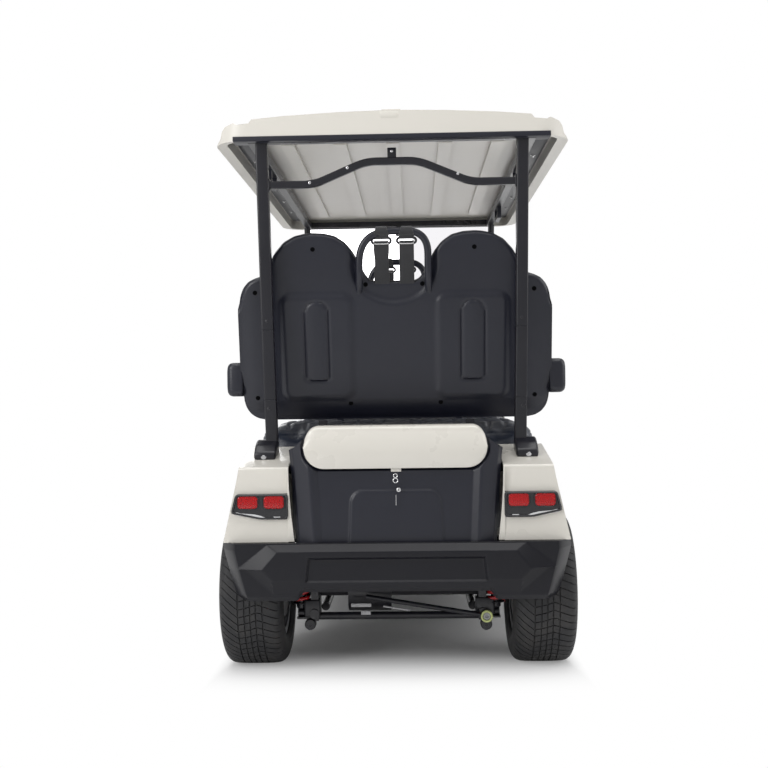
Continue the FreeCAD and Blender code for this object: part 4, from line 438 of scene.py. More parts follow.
def softened(corners, radii, steps=6, closed=False, backShare=.48):  # one radius, or one for each corner
    corners = [Vector(c) for c in corners]
    count = len(corners)
    radii = radii if isinstance(radii, tuple) else (radii,) * count
    line = []
    for i, c in enumerate(corners):
        if not closed and i in (0, count - 1):
            line.append(c)
            continue
        back, on = corners[i - 1] - c, corners[(i + 1) % count] - c
        reach = min(radii[i], back.length * backShare, on.length * 0.48)
        first, last = c + back.normalized() * reach, c + on.normalized() * reach
        for k in range(steps + 1):
            t = k / steps
            line.append(first * (1 - t) ** 2 + c * 2 * t * (1 - t) + last * t * t)
    return line


def shrunk(corners, wall):  # corners run anticlockwise
    result = []
    for i, corner in enumerate(corners):
        here, before, after = (Vector(c) for c in (corner, corners[i - 1], corners[(i + 1) % len(corners)]))
        first, second = (here - before).normalized(), (after - here).normalized()
        first, second = Vector((-first.y, first.x)), Vector((-second.y, second.x))
        move = here + (first + second) * wall / (1 + first.dot(second))
        result.append((move.x, move.y))
    return result


def steppedPlate(kit, side, corners, steps, radius, bends):  # an outline in Y and Z, stepped outward along X
    rings = []
    for out, inset in steps:
        line = softened([(0, y, z) for y, z in shrunk(corners, inset)], radius, bends, True)
        rings.append([(side * out, p.y, p.z) for p in line])
    loft(kit, rings)


def makeMesh(name, kit, merge, clean=True):
    mesh = bpy.data.meshes.new(name)
    mesh.from_pydata(kit["verts"], [], kit["faces"])
    work = bmesh.new()
    work.from_mesh(mesh)
    bmesh.ops.remove_doubles(work, verts=work.verts, dist=merge)
    if clean:
        bmesh.ops.dissolve_degenerate(work, edges=work.edges, dist=1e-6)
    bmesh.ops.recalc_face_normals(work, faces=work.faces)
    work.to_mesh(mesh)
    work.free()
    return mesh


def softenEdges(obj, width, angle):
    soft = obj.modifiers.new("softEdges", "BEVEL")
    soft.width, soft.segments, soft.limit_method = width, 3, "ANGLE"
    soft.angle_limit, soft.harden_normals = math.radians(angle), True


def finishPiece(name, kit, finish, body="chassis", crease=38, bevel=0.0, replaced=None):
    mesh = makeMesh(name, kit, 2e-6)
    mesh.materials.append(finishes[finish])
    mesh.shade_smooth()
    mesh.set_sharp_from_angle(angle=math.radians(crease))
    obj = placeObject(name, mesh)
    if bevel:
        softenEdges(obj, bevel, crease)
    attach(obj, body)
    if replaced:
        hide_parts(replaced)


def ease(value, low, high):  # 0 below low, 1 above high, smooth between
    t = np.clip((value - low) / (high - low), 0.0, 1.0)
    return t * t * (3 - 2 * t)


def roundedDistance(x, y, halfX, halfY, radius):  # signed distance to a rounded rectangle, inside below 0
    dx = np.abs(x) - (halfX - radius)
    dy = np.abs(y) - (halfY - radius)
    outside = np.hypot(np.maximum(dx, 0), np.maximum(dy, 0))
    return outside + np.minimum(np.maximum(dx, dy), 0) - radius


def smoothLine(points, at, window=9):  # a line of points, evened out over the window
    xs, ys = zip(*points)
    fine = np.linspace(xs[0], xs[-1], 800)
    line = np.interp(fine, xs, ys)
    padded = np.concatenate([line[1:window + 1][::-1], line, line[-window - 1:-1]])
    width = 2 * window + 1
    return np.interp(at, fine, np.convolve(padded, np.ones(width) / width, "valid"))


def spanGrid(xs, low, high, rows):  # rows of points between a low and a high line
    return np.repeat(xs[None, :], rows, 0), low + np.linspace(0, 1, rows)[:, None] * (high - low)


def gridPanel(kit, skin, back, rows, columns, strip=False):  # a skin, its back, and the rim between them
    cells = gridCells(rows, columns)
    pour(kit, skin, cells)
    if strip:  # the back runs straight from its first row to its last
        pour(kit, back[:columns] + back[-columns:],
             [[c, columns + c, columns + c + 1, c + 1] for c in range(columns - 1)])
    else:
        pour(kit, back, [cell[::-1] for cell in cells])
    last = (rows - 1) * columns
    loop = list(range(columns)) + [r * columns + columns - 1 for r in range(1, rows)] \
        + [last + c for c in range(columns - 2, -1, -1)] + [r * columns for r in range(rows - 2, 0, -1)]
    loft(kit, [[skin[i] for i in loop], [back[i] for i in loop]], False)


# backrest shells

seatRows = {"rear": 0.0, "front": 0.930}  # forward shift of each row
backrest = {"foot": (-1.160, 0.855), "lean": math.radians(10.6), "rim": 0.016, "columns": 190, "rows": 120,
            "top": [(0, .489), (.07, .489), (.088, .497), (.1, .513), (.113, .538), (.125, .562), (.14, .590),
                    (.165, .621), (.2, .645), (.24, .655), (.28, .657), (.305, .655), (.341, .647), (.378, .627),
                    (.41, .592), (.43, .556), (.443, .528), (.46, .511), (.485, .503), (.507, .492), (.526, .470),
                    (.538, .440), (.5445, .400), (.547, .34)],
            "bottom": [(0, 0), (.46, .001), (.49, .007), (.512, .020), (.528, .040), (.538, .066), (.543, .11),
                       (.547, .24)],
            "wingDepth": .015, "wingFall": (.010, .46, .547), "coreDepth": .0255, "coreHalf": .432, "coreFade": .02,
            "plateau": (.269, .262, .134, .194, .045), "plateauRise": .008, "plateauSlope": .026,
            "bead": (.271, .283, .043, .140), "beadFoot": .016, "beadGroove": (.0045, .0015, .0045),
            "beadCrown": .006, "beadSink": .002, "scoop": (.158, .550, .143), "scoopDepth": .0105,
            "foldTop": .075, "foldDepth": .026, "inner": -.002, "thinnest": .0005,
            "screws": ((.277, .602), (.483, .455), (.487, .083), (.158, .062), (.098, .478)),
            "screw": [(.0078, -.0005), (.0078, .0008), (.0062, .0012), (.0052, .0012), (.0050, .006), (.0, .006)]}


def leaned(x, depth, up, shift):  # depth is to the rear of the backrest's own back plane
    lean = backrest["lean"]
    y, z = backrest["foot"]
    return Vector((x, y + shift - depth * math.cos(lean) - up * math.sin(lean),
                   z - depth * math.sin(lean) + up * math.cos(lean)))


def leanedGrid(x, depth, up, shift):
    return [leaned(*place, shift) for place in zip(x.ravel(), depth.ravel(), up.ravel())]


def shellDepth(x, up, spec):
    a = np.abs(x)
    core = 1 - ease(a, spec["coreHalf"], spec["coreHalf"] + spec["coreFade"])
    fall, inner, outer = spec["wingFall"]
    depth = spec["wingDepth"] - fall * ease(a, inner, outer) ** 2 + (spec["coreDepth"] - spec["wingDepth"]) * core
    px, pw, hx, hw, corner = spec["plateau"]
    plateau = roundedDistance(a - px, up - pw, hx, hw, corner)
    depth = depth + spec["plateauRise"] * (1 - ease(plateau, -spec["plateauSlope"], 0))
    bx, bw, bh, bv = spec["bead"]
    away = np.where(up > bw, roundedDistance(a - bx, up - bw, bh, bv, bh * .999),
                    roundedDistance(a - bx, up - bw, bh, bv, spec["beadFoot"]))
    crown = spec["beadCrown"] * np.clip(1 - ((a - bx) / bh) ** 2, 0, 1) - spec["beadSink"]
    sink, near, far = spec["beadGroove"]
    depth = depth - sink * (1 - ease(np.abs(away + .001), near, far)) + (1 - ease(away, -.004, 0)) * crown
    sx, sw, sr = spec["scoop"]
    depth = depth - spec["scoopDepth"] * (1 - ease(np.hypot(x / sx, (up - sw) / sr) - 1, -.16, .02))
    fold = np.clip((spec["foldTop"] - up) / spec["foldTop"], 0, 1)
    return depth - spec["foldDepth"] * fold ** 1.15


def makeShell(row, shift, spec):
    rows, columns, rim = spec["rows"], spec["columns"], spec["rim"]
    half = spec["top"][-1][0]
    xs = half * (np.sin(np.linspace(-math.pi / 2, math.pi / 2, columns)) * .45 + np.linspace(-1, 1, columns) * .55)
    top, bottom = smoothLine(spec["top"], np.abs(xs)), smoothLine(spec["bottom"], np.abs(xs))
    across, ups = spanGrid(xs, bottom, top, rows)
    near = np.full(ups.shape, 1.0)
    for x, up in list(zip(xs, top)) + list(zip(xs, bottom)):
        near = np.minimum(near, np.hypot(across - x, ups - up))
    roll = np.clip(1 - near / rim, 0, 1)
    depth = shellDepth(across, ups, spec) - rim * (1 - np.sqrt(np.clip(1 - roll ** 2, 0, 1)))
    kit = newKit()
    gridPanel(kit, leanedGrid(across, np.maximum(depth, spec["thinnest"]), ups, shift),
              leanedGrid(across, np.full_like(depth, spec["inner"]), ups, shift), rows, columns, True)
    finishPiece(row + "BackShell", kit, "blackMoulding", replaced=row + "_backrest_shell", crease=50)


# matte near-black discs where the screw holes are: painted shade for the dark inside each hole
def makeShellHoleShades(row, shift, spec):
    kit = newKit()
    for side in (-1, 1):
        for x, up in spec["screws"]:
            depth = float(shellDepth(np.array([side * x]), np.array([up]), spec)[0])
            centre = leaned(side * x, depth + .0012, up, shift)
            lathe(kit, spec["screw"], centre, leaned(side * x, depth - 1, up, shift) - centre, 20)
    finishPiece(row + "ShellHoleShades", kit, "holeShadeBlack")


for row, shift in seatRows.items():
    makeShell(row, shift, backrest)
    makeShellHoleShades(row, shift, backrest)
print("backrest shells made")

# rear box

boxSpec = {"halfTop": .352, "halfLow": .328, "zLow": .452, "zTop": .804, "rear": -1.482, "front": -1.262,
           "wall": .005, "floor": .500, "rimHeight": .004, "lean": .012,
           "shares": [(0, 0), (.735, 0), (.80, .012), (.825, .012), (.93, -.006), (.965, -.012), (.975, -.018),
                      (1, -.030)],
           "arch": (.150, .637, .045), "archTall": .3, "archRise": .007, "archHalf": .7,
           "lidPlace": (.775, .305, .076, .070), "lidStep": .012, "ear": (.288, .352, .040)}


def boxRear(share, x, z, spec):  # how the rear face stands along one height
    a = np.abs(share)
    half, top, radius = spec["arch"]
    tall = spec["archTall"]
    arch = roundedDistance(x, z - (top - tall), half + (top - z) * .05, tall, radius)
    arch = spec["archRise"] * (1 - ease(arch, -.010, 0)) * (a < spec["archHalf"])
    middle, *lid = spec["lidPlace"]  # the face stands back behind the lid
    behind = spec["lidStep"] * (1 - ease(roundedDistance(x, z - middle, *lid), -.002, .005))
    return spec["rear"] - smoothLine(spec["shares"], a, 3) - arch + behind


def earDrop(x, spec):  # the top edge falls away at both ears
    inner, outer, drop = spec["ear"]
    return drop * float(ease(abs(x), inner, outer))


def makeBox(spec):
    low, top, front = spec["zLow"], spec["zTop"], spec["front"]
    across = np.concatenate([np.linspace(-1, -.7, 40), np.linspace(-.69, .69, 110), np.linspace(.7, 1, 40)])
    rings = []
    for z in np.linspace(low, top, 62):
        rise = (z - low) / (top - low)
        half = spec["halfLow"] + (spec["halfTop"] - spec["halfLow"]) * rise
        ys = boxRear(across, across * half, z, spec) + spec["lean"] * rise
        ring = [(s * half, y, z - rise ** 6 * earDrop(s * half, spec)) for s, y in zip(across, ys)]
        edge = z - rise ** 6 * earDrop(half, spec)
        ring += [(half, y, edge) for y in np.linspace(ys[-1] + .01, front, 10)]
        ring += [(-half, y, edge) for y in np.linspace(front, ys[0] + .01, 10)]
        rings.append(ring)
    outer, wall = rings[-1], spec["wall"] * 3
    middle = (spec["rear"] + front) / 2
    for z in (top, top - spec["rimHeight"], spec["floor"]):
        inner = []
        for x, y, _ in outer:
            drop = earDrop(x, spec) if z > spec["floor"] else 0
            inner.append((x - math.copysign(min(wall, abs(x)), x) * .6, y - math.copysign(wall, y - middle) * .8,
                          z - drop))
        rings.append(inner)
    kit = newKit()
    loft(kit, rings)
    finishPiece("rearBoxShell", kit, "blackMoulding", replaced="rear_box", crease=55)


makeBox(boxSpec)
print("rear box made")

# lid

lidSpec = {"half": .300, "zLow": .703, "zTop": .843, "corner": .072, "topCorner": .050, "rear": -1.496,
           "front": -1.243, "bulge": .022, "tuck": .006, "lean": .010, "edge": (.024, .016), "thick": .004,
           "stations": 121, "tab": (.034, .012)}


def makeLid(spec):
    kit = newKit()
    count, half, thick = spec["stations"], spec["half"], spec["thick"]
    deep, tallEdge = spec["edge"]
    middle = (spec["zLow"] + spec["zTop"]) / 2
    rings = []
    for share in np.sin(np.linspace(-math.pi / 2, math.pi / 2, count)) * .5 + np.linspace(-1, 1, count) * .5:
        x = share * half
        ends = [max(abs(x) - (half - corner), 0) / corner for corner in (spec["corner"], spec["topCorner"])]
        tall, crest = (math.sqrt(max(1 - end ** 2.2, 0.0004)) for end in ends)
        low = middle - (middle - spec["zLow"]) * tall
        high = middle + (spec["zTop"] - middle) * crest
        outer = []
        for v in [k / 14 for k in range(15)]:  # up the rear face
            bow = math.sin(math.pi * min(v * .75 + .12, 1)) ** .6
            outer.append((spec["rear"] + spec["bulge"] * (1 - bow) + (1 - tall) * spec["tuck"] + spec["lean"] * v * v,
                          low + (high - tallEdge * crest - low) * v))
        y0, z0 = outer[-1]
        for turn in [math.radians(90 * k / 8) for k in range(1, 9)]:  # over the top edge
            outer.append((y0 + deep * (1 - math.cos(turn)), z0 + tallEdge * crest * math.sin(turn)))
        y1, z1 = outer[-1]
        outer += [(y1 + (spec["front"] - y1) * k / 8, z1 - spec["lean"] * (k / 8) ** 2) for k in range(1, 9)]
        inner = [(y + thick, z) if i < 15 else (y, z - thick) for i, (y, z) in enumerate(outer)][::-1]
        rings.append([(x, y, z) for y, z in outer + inner])
    loft(kit, rings)
    half, drop = spec["tab"]
    softBox(kit, (.002, spec["rear"] + .021, spec["zLow"] - drop / 2 + .004), (half, .006, drop + .008), .003, .0015)
    finishPiece("rearLidShell", kit, "bodyPaint", "lid_body", crease=60, replaced="rear_lid")


makeLid(lidSpec)
print("lid made")

# rear bumper

bumperSpec = {"zTop": .466, "zLow": .277, "half": .572, "halfLow": .523, "base": -1.511, "rise": .024,
              "columns": 260, "rows": 84, "notch": (.028, .300, .326), "foldOver": (.004, .022),
              "foldUnder": (.300, .050), "lip": (.017, .016), "sideShare": .915, "sideFall": .075, "thick": .004,
              "peakOuter": ((.421, .460), (.506, .395)), "peakInner": ((.3865, .4376), (.4326, .382)),
              "footOuter": ((.506, .395), (.448, .345)), "footInner": ((.4326, .382), (.402, .353)),
              "recess": (.292, .381, .043), "recessDrop": .012}


def slopeShare(x, z, outer, inner):  # 0 on the outer line, 1 on the inner, lines given by two points
    def away(line):
        (x0, z0), (x1, z1) = line
        return ((x - x0) * (z1 - z0) - (z - z0) * (x1 - x0)) / math.hypot(x1 - x0, z1 - z0)
    fromOuter = away(outer)
    span = away(inner) - fromOuter
    return np.clip(-fromOuter / np.where(np.abs(span) < 1e-6, 1e-6, span), 0, 1)


def makeBumper(spec):
    rows, columns, base = spec["rows"], spec["columns"], spec["base"]
    grow = np.repeat(np.linspace(0, 1, rows)[:, None], columns, 1)
    half = spec["halfLow"] + (spec["half"] - spec["halfLow"]) * np.clip(grow * 1.15, 0, 1) ** .85
    xs = np.linspace(-1, 1, columns)[None, :] * half
    a = np.abs(xs)
    notch, inner, outer = spec["notch"]
    low = spec["zLow"] + notch * (1 - ease(a, inner, outer))
    zs = low + (spec["zTop"] - low) * grow
    top, fade = spec["foldOver"]
    over = np.clip((spec["zTop"] - top - zs) / fade, 0, 1)
    foot, fade = spec["foldUnder"]
    under = np.clip((zs - foot) / fade, 0, 1)
    (peakX, _), (_, peakZ) = spec["peakInner"]
    (_, footZ), (footX, _) = spec["footInner"]
    peak = np.where((a < peakX) | (zs < peakZ), 1, slopeShare(a, zs, spec["peakOuter"], spec["peakInner"]))
    foot = np.where((a < footX) | (zs > footZ), 1, slopeShare(a, zs, spec["footOuter"], spec["footInner"]))
    lift = spec["rise"] * np.minimum(np.minimum(peak, foot), np.minimum(over, under))
    halfX, middle, halfZ = spec["recess"]
    recess = roundedDistance(xs, zs - middle, halfX - (zs - middle) * .12, halfZ, .004)
    around = spec["sideFall"] * np.clip((a / half - spec["sideShare"]) / (1 - spec["sideShare"]), 0, 1) ** 1.25
    tall, deep = spec["lip"]
    lift = lift - spec["recessDrop"] * (1 - ease(recess, -.012, 0)) - around
    ys = base - lift + deep * np.clip((low + tall - zs) / tall, 0, 1)
    backs = np.maximum(ys + spec["thick"], base + .012 + around)
    kit = newKit()
    skin, back = ([tuple(p) for p in np.stack([xs, depth, zs], 2).reshape(-1, 3)] for depth in (ys, backs))
    gridPanel(kit, skin, back, rows, columns)
    # the skin wears the darker copy of the black moulding, painted shade
    finishPiece("rearBumperSkin", kit, "bumperShadedMoulding", replaced="rear_bumper", crease=24)


makeBumper(bumperSpec)
print("rear bumper made")

# tyres

wheels = [(end, name, side) for end in ("rear", "front") for name, side in (("left", -1), ("right", 1))]
tyreSpec = {"centre": .4925, "axle": .260, "rows": {"rear": -1.165, "front": 1.115}, "pitches": 60, "depth": .005,
            "cuts": ((0, 0), (.014, 1), (.125, 1), (.139, 0), (.42, 0), (.71, 0)), "cutFade": (.086, .1035),
            "line": [(-.105, .052), (-.0925, .046), (-.066, .021), (-.0425, .001), (-.036, 0), (0, .0085),
                     (.021, .0165), (.03, .0155), (.055, .006), (.087, -.0065), (.105, -.010)],
            "grooves": (-.0395, -.0175, .0015, .0205, .0425), "grooveHalf": .0017, "grooveSlope": .0006,
            "tread": [(0, .2600), (.03, .2598), (.055, .2590), (.072, .2574), (.082, .2550), (.0895, .2510),
                      (.0955, .2455), (.1000, .2390), (.1035, .2310), (.1058, .2220)],
            "wall": [(.1069, .2150), (.1073, .2050), (.1068, .1950), (.1052, .1865), (.1060, .1845), (.1056, .1820),
                     (.1038, .1805), (.1008, .1740), (.0960, .1680), (.0925, .1655), (.0895, .1630), (.0880, .1530)]}


def treadStations(spec):  # places across the tread, with the four edges of each round groove
    edge, half, slope = spec["tread"][-1][0], spec["grooveHalf"], spec["grooveSlope"]
    places = [(x, 0) for x in np.linspace(-edge, edge, 57) if min(abs(x - g) for g in spec["grooves"]) > half * 2]
    for g in spec["grooves"]:
        places += [(g - half - slope, 0), (g - half, spec["depth"]), (g + half, spec["depth"]), (g + half + slope, 0)]
    places, sunk = np.array(sorted(places)).T
    return places, smoothLine(spec["tread"], np.abs(places), 6), sunk


def wheelCentre(end, side):
    return Vector((side * tyreSpec["centre"], tyreSpec["rows"][end], tyreSpec["axle"]))


def makeTyre(end, name, side, spec):
    places, radii, sunk = treadStations(spec)
    lateral = spec["depth"] * (1 - ease(np.abs(places), *spec["cutFade"]))
    wall = [(x, r, 0, 0) for x, r in spec["wall"]]
    stations = [(-x, r, a, b) for x, r, a, b in wall[::-1]] + list(zip(places, radii, sunk, lateral)) + wall
    shift = smoothLine(spec["line"], np.array([station[0] for station in stations]), 12)
    centre, step = wheelCentre(end, side), 2 * math.pi / spec["pitches"]
    rings = []
    for (x, r, cutRound, cutAcross), drift in zip(stations, shift):
        ring = []
        for k in range(spec["pitches"]):
            for share, mask in spec["cuts"]:
                turn = step * (k + share) + drift / spec["axle"]
                reach = r - max(cutRound, cutAcross * mask)
                ring.append(centre + Vector((x, -reach * math.cos(turn), reach * math.sin(turn))))
        rings.append(ring)
    kit = newKit()
    loft(kit, rings + rings[:1], False)
    finishPiece(end + name.title() + "Tyre", kit, "tyreRubber", "wheel_" + end + "_" + name, crease=30,
                replaced="tyre_" + end + "_" + name)


for end, name, side in wheels:
    makeTyre(end, name, side, tyreSpec)
print("tyres made")

# tail lamps

lampSpec = {"outline": [(.352, .540), (.442, .540), (.540, .560), (.524, .623), (.352, .623)], "corner": .012,
            "face": -1.486, "back": -1.440, "floor": -1.4775,
            "rim": ((0, .003), (.0008, .001), (.002, 0), (.0050, 0), (.0062, .0008), (.0068, .002)), "rimEnd": .0072,
            "lenses": ((.3985, .5962), (.4845, .5962)), "lens": (.033, .0205, .011),
            "collar": ((.004, .0095), (.004, .004), (.003, .003), (.0004, .003), (.0004, .0075)),
            "dome": ((0, .0075), (0, .0035), (-.0006, .0018), (-.002, .0009), (-.008, .0002), (-.016, 0)),
            "cells": (9, 6), "cell": (.0068, .0064), "cellHalf": (.0034, .0032), "cellBack": .0085, "cellTip": .0048,
            "sweep": [(.527, .5565), (.522, .5655), (.507, .5612), (.485, .5595), (.462, .5575), (.440, .5520),
                      (.424, .5452), (.450, .5450), (.480, .5468), (.508, .5525)],
            "chip": ((.388, .006, .5465), (.022, .006, .006))}


def lensRings(side, x, z, steps, spec):
    halfX, halfZ, radius = spec["lens"]
    rings = []
    for grow, back in steps:
        ring = roundedRing(halfX + grow, halfZ + grow, max(radius + grow, .004))
        rings.append([(side * (x + px), spec["face"] + back, z + pz) for px, pz in ring])
    return rings


def reflectorCells(kit, side, x, z, spec):  # rows of small pyramids behind the lens
    across, down = spec["cells"]
    stepX, stepZ = spec["cell"]
    halfX, halfZ = spec["cellHalf"]
    back, tip = spec["face"] + spec["cellBack"], spec["face"] + spec["cellTip"]
    for col in range(across):
        for row in range(down):
            cx, cz = x + (col - (across - 1) / 2) * stepX, z + (row - (down - 1) / 2) * stepZ
            points = [(side * (cx + dx * halfX), back, cz + dz * halfZ)
                      for dx, dz in ((-1, -1), (1, -1), (1, 1), (-1, 1))]
            pour(kit, points + [(side * cx, tip, cz)], [[0, 1, 4], [1, 2, 4], [2, 3, 4], [3, 0, 4], [3, 2, 1, 0]])


def makeTailLamp(side, spec):
    name, face = "left" if side < 0 else "right", spec["face"]
    housing, lenses, cells, white = newKit(), newKit(), newKit(), newKit()
    steps = [(0, spec["back"])] + [(wall, face + back) for wall, back in spec["rim"]]
    steps.append((spec["rimEnd"], spec["floor"]))
    rings = []
    for wall, y in steps:
        corners = [(x, y, z) for x, z in shrunk(spec["outline"], wall)]
        rings.append([(side * p.x, p.y, p.z) for p in softened(corners, max(spec["corner"] - wall, .002), 5, True)])
    loft(housing, rings)
    for x, z in spec["lenses"]:
        loft(housing, lensRings(side, x, z, spec["collar"], spec), False)  # a dark collar round each lens
        loft(lenses, lensRings(side, x, z, spec["dome"], spec))
        reflectorCells(cells, side, x, z, spec)
    rings = [[(side * x, y, z) for x, z in spec["sweep"]] for y in (spec["floor"] + .001, face + .0045)]
    rings.append([(side * (x * .98 + .0095), face + .0035, z * .9 + .0555) for x, z in spec["sweep"]])
    loft(white, rings)
    (x, y, z), size = spec["chip"]
    softBox(white, (side * x, face + y, z), size, .002, .001)
    finishPiece(name + "LampHousing", housing, "lampBlack", replaced="tail_lamps")
    finishPiece(name + "LampLenses", lenses, "redLens", crease=50)
    finishPiece(name + "LampReflectors", cells, "lampGlow", crease=5)
    finishPiece(name + "LampSweep", white, "lampWhite", crease=30)


for side in (-1, 1):
    makeTailLamp(side, lampSpec)
print("tail lamps made")

# belts on the grab handles

beltSpec = {"xs": (-.0405, .0455), "bar": (.0367, .6605, .0125), "ring": (.0365, .0135, .0042), "ringUp": .632,
            "wrap": (-62, 304, 24), "strap": .026, "waist": .30, "strapThick": (.0015, .0012),
            "web": .025, "thick": .0013, "bow": (-.003, -.0015), "foot": (.012, .476), "wave": .0030}


def beltBand(kit, x, shift, path, halves, thick, bow=0.0):  # a strap laid along points (depth, up)
    over = [(-1, 0), (-.96, 1), (-.5, 1), (0, 1), (.5, 1), (.96, 1), (1, 0)]
    section = [(share, thick * lift) for share, lift in over] + [(share, -thick * lift) for share, lift in over[::-1]]
    points = [Vector(p) for p in path]
    last = len(points) - 1
    rings = []
    for i, p in enumerate(points):
        ahead = (points[min(i + 1, last)] - points[max(i - 1, 0)]).normalized()
        off = Vector((ahead.y, -ahead.x))
        ring = []
        for share, lift in section:
            place = p + off * (lift + bow * (1 - share * share) * math.sin(math.pi * i / last))
            ring.append(leaned(x + share * halves[i], place.x, place.y, shift))
        rings.append(ring)
    loft(kit, rings)


def makeBelts(row, shift, spec):
    depth, up, radius = spec["bar"]
    halfX, halfZ, wire = spec["ring"]
    footDepth, footUp = spec["foot"]
    ringUp = spec["ringUp"]
    start, sweep, steps = spec["wrap"]
    reach = radius + .0022
    turns = [math.radians(start + sweep * k / steps) for k in range(1, steps)]
    tails = [(.0042, .008), (.0050, .013)]
    strap, metal, web, loops = newKit(), newKit(), newKit(), newKit()
    for index, x in enumerate(spec["xs"]):
        path = [(depth + d, ringUp + u) for d, u in tails] \
            + [(depth + reach * math.cos(turn), up + reach * math.sin(turn)) for turn in turns] \
            + [(depth - d, ringUp + u) for d, u in tails[::-1]]
        last = len(path) - 1
        halves = [spec["strap"] * (1 - spec["waist"] * math.sin(math.pi * i / last) ** 2) for i in range(last + 1)]
        beltBand(strap, x, shift, path, halves, spec["strapThick"][0])
        under = [(.0042, .013), (.0050, .007), (0, .0035), (-.005, .007), (-.0042, .013)]
        beltBand(strap, x, shift, [(depth + d, ringUp + u) for d, u in under], [spec["strap"]] * 5,
                 spec["strapThick"][1])
        tubeRun(loops, [leaned(x + px, depth + .0015 * (pz < 0), ringUp + pz - .004, shift)
                        for px, pz in roundedRing(halfX - wire, halfZ - wire, .0095)], wire, 12, True)
        tubeRun(metal, [leaned(x + share * (halfX - .011), depth + .0052,
                               ringUp - halfZ - .0012 + .0022 * abs(share) ** 6, shift)
                        for share in np.linspace(-1, 1, 15)], .0021, 10)
        low = [(depth + .0042, ringUp - .004), (depth + .0046, ringUp - .012), (depth + .0015, ringUp - .022)]
        topDepth, topUp = low[-1]
        for t in [k / 14 for k in range(1, 15)]:
            wave = spec["wave"] * math.sin(t * 5.0 + index) * math.sin(math.pi * t)
            low.append((topDepth + (footDepth - topDepth) * t ** 1.5 + wave, topUp + (footUp - topUp) * t))
        halves = [spec["web"] + (.0005 * i / len(low) if index else .0016 * math.sin(i * .6)) for i in range(len(low))]
        beltBand(web, x, shift, low, halves, spec["thick"], spec["bow"][index])
    finishPiece(row + "BeltLoops", strap, "webbing", crease=45, replaced="seat_belts")
    finishPiece(row + "BeltRings", loops, "blackSteel")
    finishPiece(row + "BeltRingBars", metal, "brightMetal")
    finishPiece(row + "BeltWebbing", web, "webbing", crease=45)


for row, shift in seatRows.items():
    makeBelts(row, shift, beltSpec)
print("belts made")

# cushions and backrest pads

cloth = {"use_pressure": True, "uniform_pressure_force": 4.0, "quality": 4, "mass": 0.25, "tension_stiffness": 40,
         "compression_stiffness": 40, "bending_stiffness": 10}
clothFrames = 20
cushionSpec = {"half": .514, "rear": -1.078, "front": -.635, "low": .6887, "high": .838, "voxel": .0062, "cap": .024,
               "side": .010, "corner": .05, "channels": (.095, .155, .215, .275, .335, .395), "seam": .445,
               "middleSeam": .052, "frontSeam": .072, "rearSeam": .045, "depth": .0048, "skirt": .045}
padSpec = {"margin": .028, "thick": .070, "voxel": .0062, "cap": .016, "columns": 120, "rows": 70, "swell": .012,
           "edge": .014, "roll": .040, "channels": (.150, .215, .280, .345), "inner": .082, "outer": .412,
           "frameMiddle": .30, "frameHalf": .212, "wingSeam": .445, "depth": .0050, "reach": .5165}


def taken(obj):  # the mesh as its modifiers leave it
    made = bpy.data.meshes.new_from_object(obj.evaluated_get(bpy.context.evaluated_depsgraph_get()))
    obj.modifiers.clear()
    obj.data = made


def vertsOf(obj):
    return np.array([v.co for v in obj.data.vertices])


def plumped(name, kit, spec):  # remeshed evenly, then swelled under pressure by no more than the cap
    obj = placeObject(name, makeMesh(name, kit, 2e-5, False))
    even = obj.modifiers.new("even", "REMESH")
    even.mode, even.voxel_size = "VOXEL", spec["voxel"]
    taken(obj)
    before = vertsOf(obj)
    fill = obj.modifiers.new("fill", "CLOTH")
    for key, value in cloth.items():
        setattr(fill.settings, key, value)
    fill.settings.effector_weights.gravity = 0
    fill.point_cache.frame_start, fill.point_cache.frame_end = 1, clothFrames
    for tick in range(1, clothFrames + 1):
        scene.frame_set(tick)
    taken(obj)
    move = vertsOf(obj) - before
    length = np.linalg.norm(move, axis=1)
    after = before + move * np.minimum(1, spec["cap"] / np.maximum(length, 1e-9))[:, None]
    obj.data.vertices.foreach_set("co", after.ravel())
    scene.frame_set(1)
    work = bmesh.new()
    work.from_mesh(obj.data)
    for _ in range(10):
        bmesh.ops.smooth_vert(work, verts=work.verts, factor=0.5, use_axis_x=True, use_axis_y=True, use_axis_z=True)
    work.to_mesh(obj.data)
    work.free()
    return obj


def stitched(distance, width):  # a sewn groove, 1 on its line
    return np.exp(-(distance / width) ** 2)


def sewnLines(channels, seams):  # each line is (distance, where it is sewn)
    lines = [stitched(away, .006) * where for away, where in channels]
    return np.max(lines + [stitched(away, .005) * where for away, where in seams], axis=0)


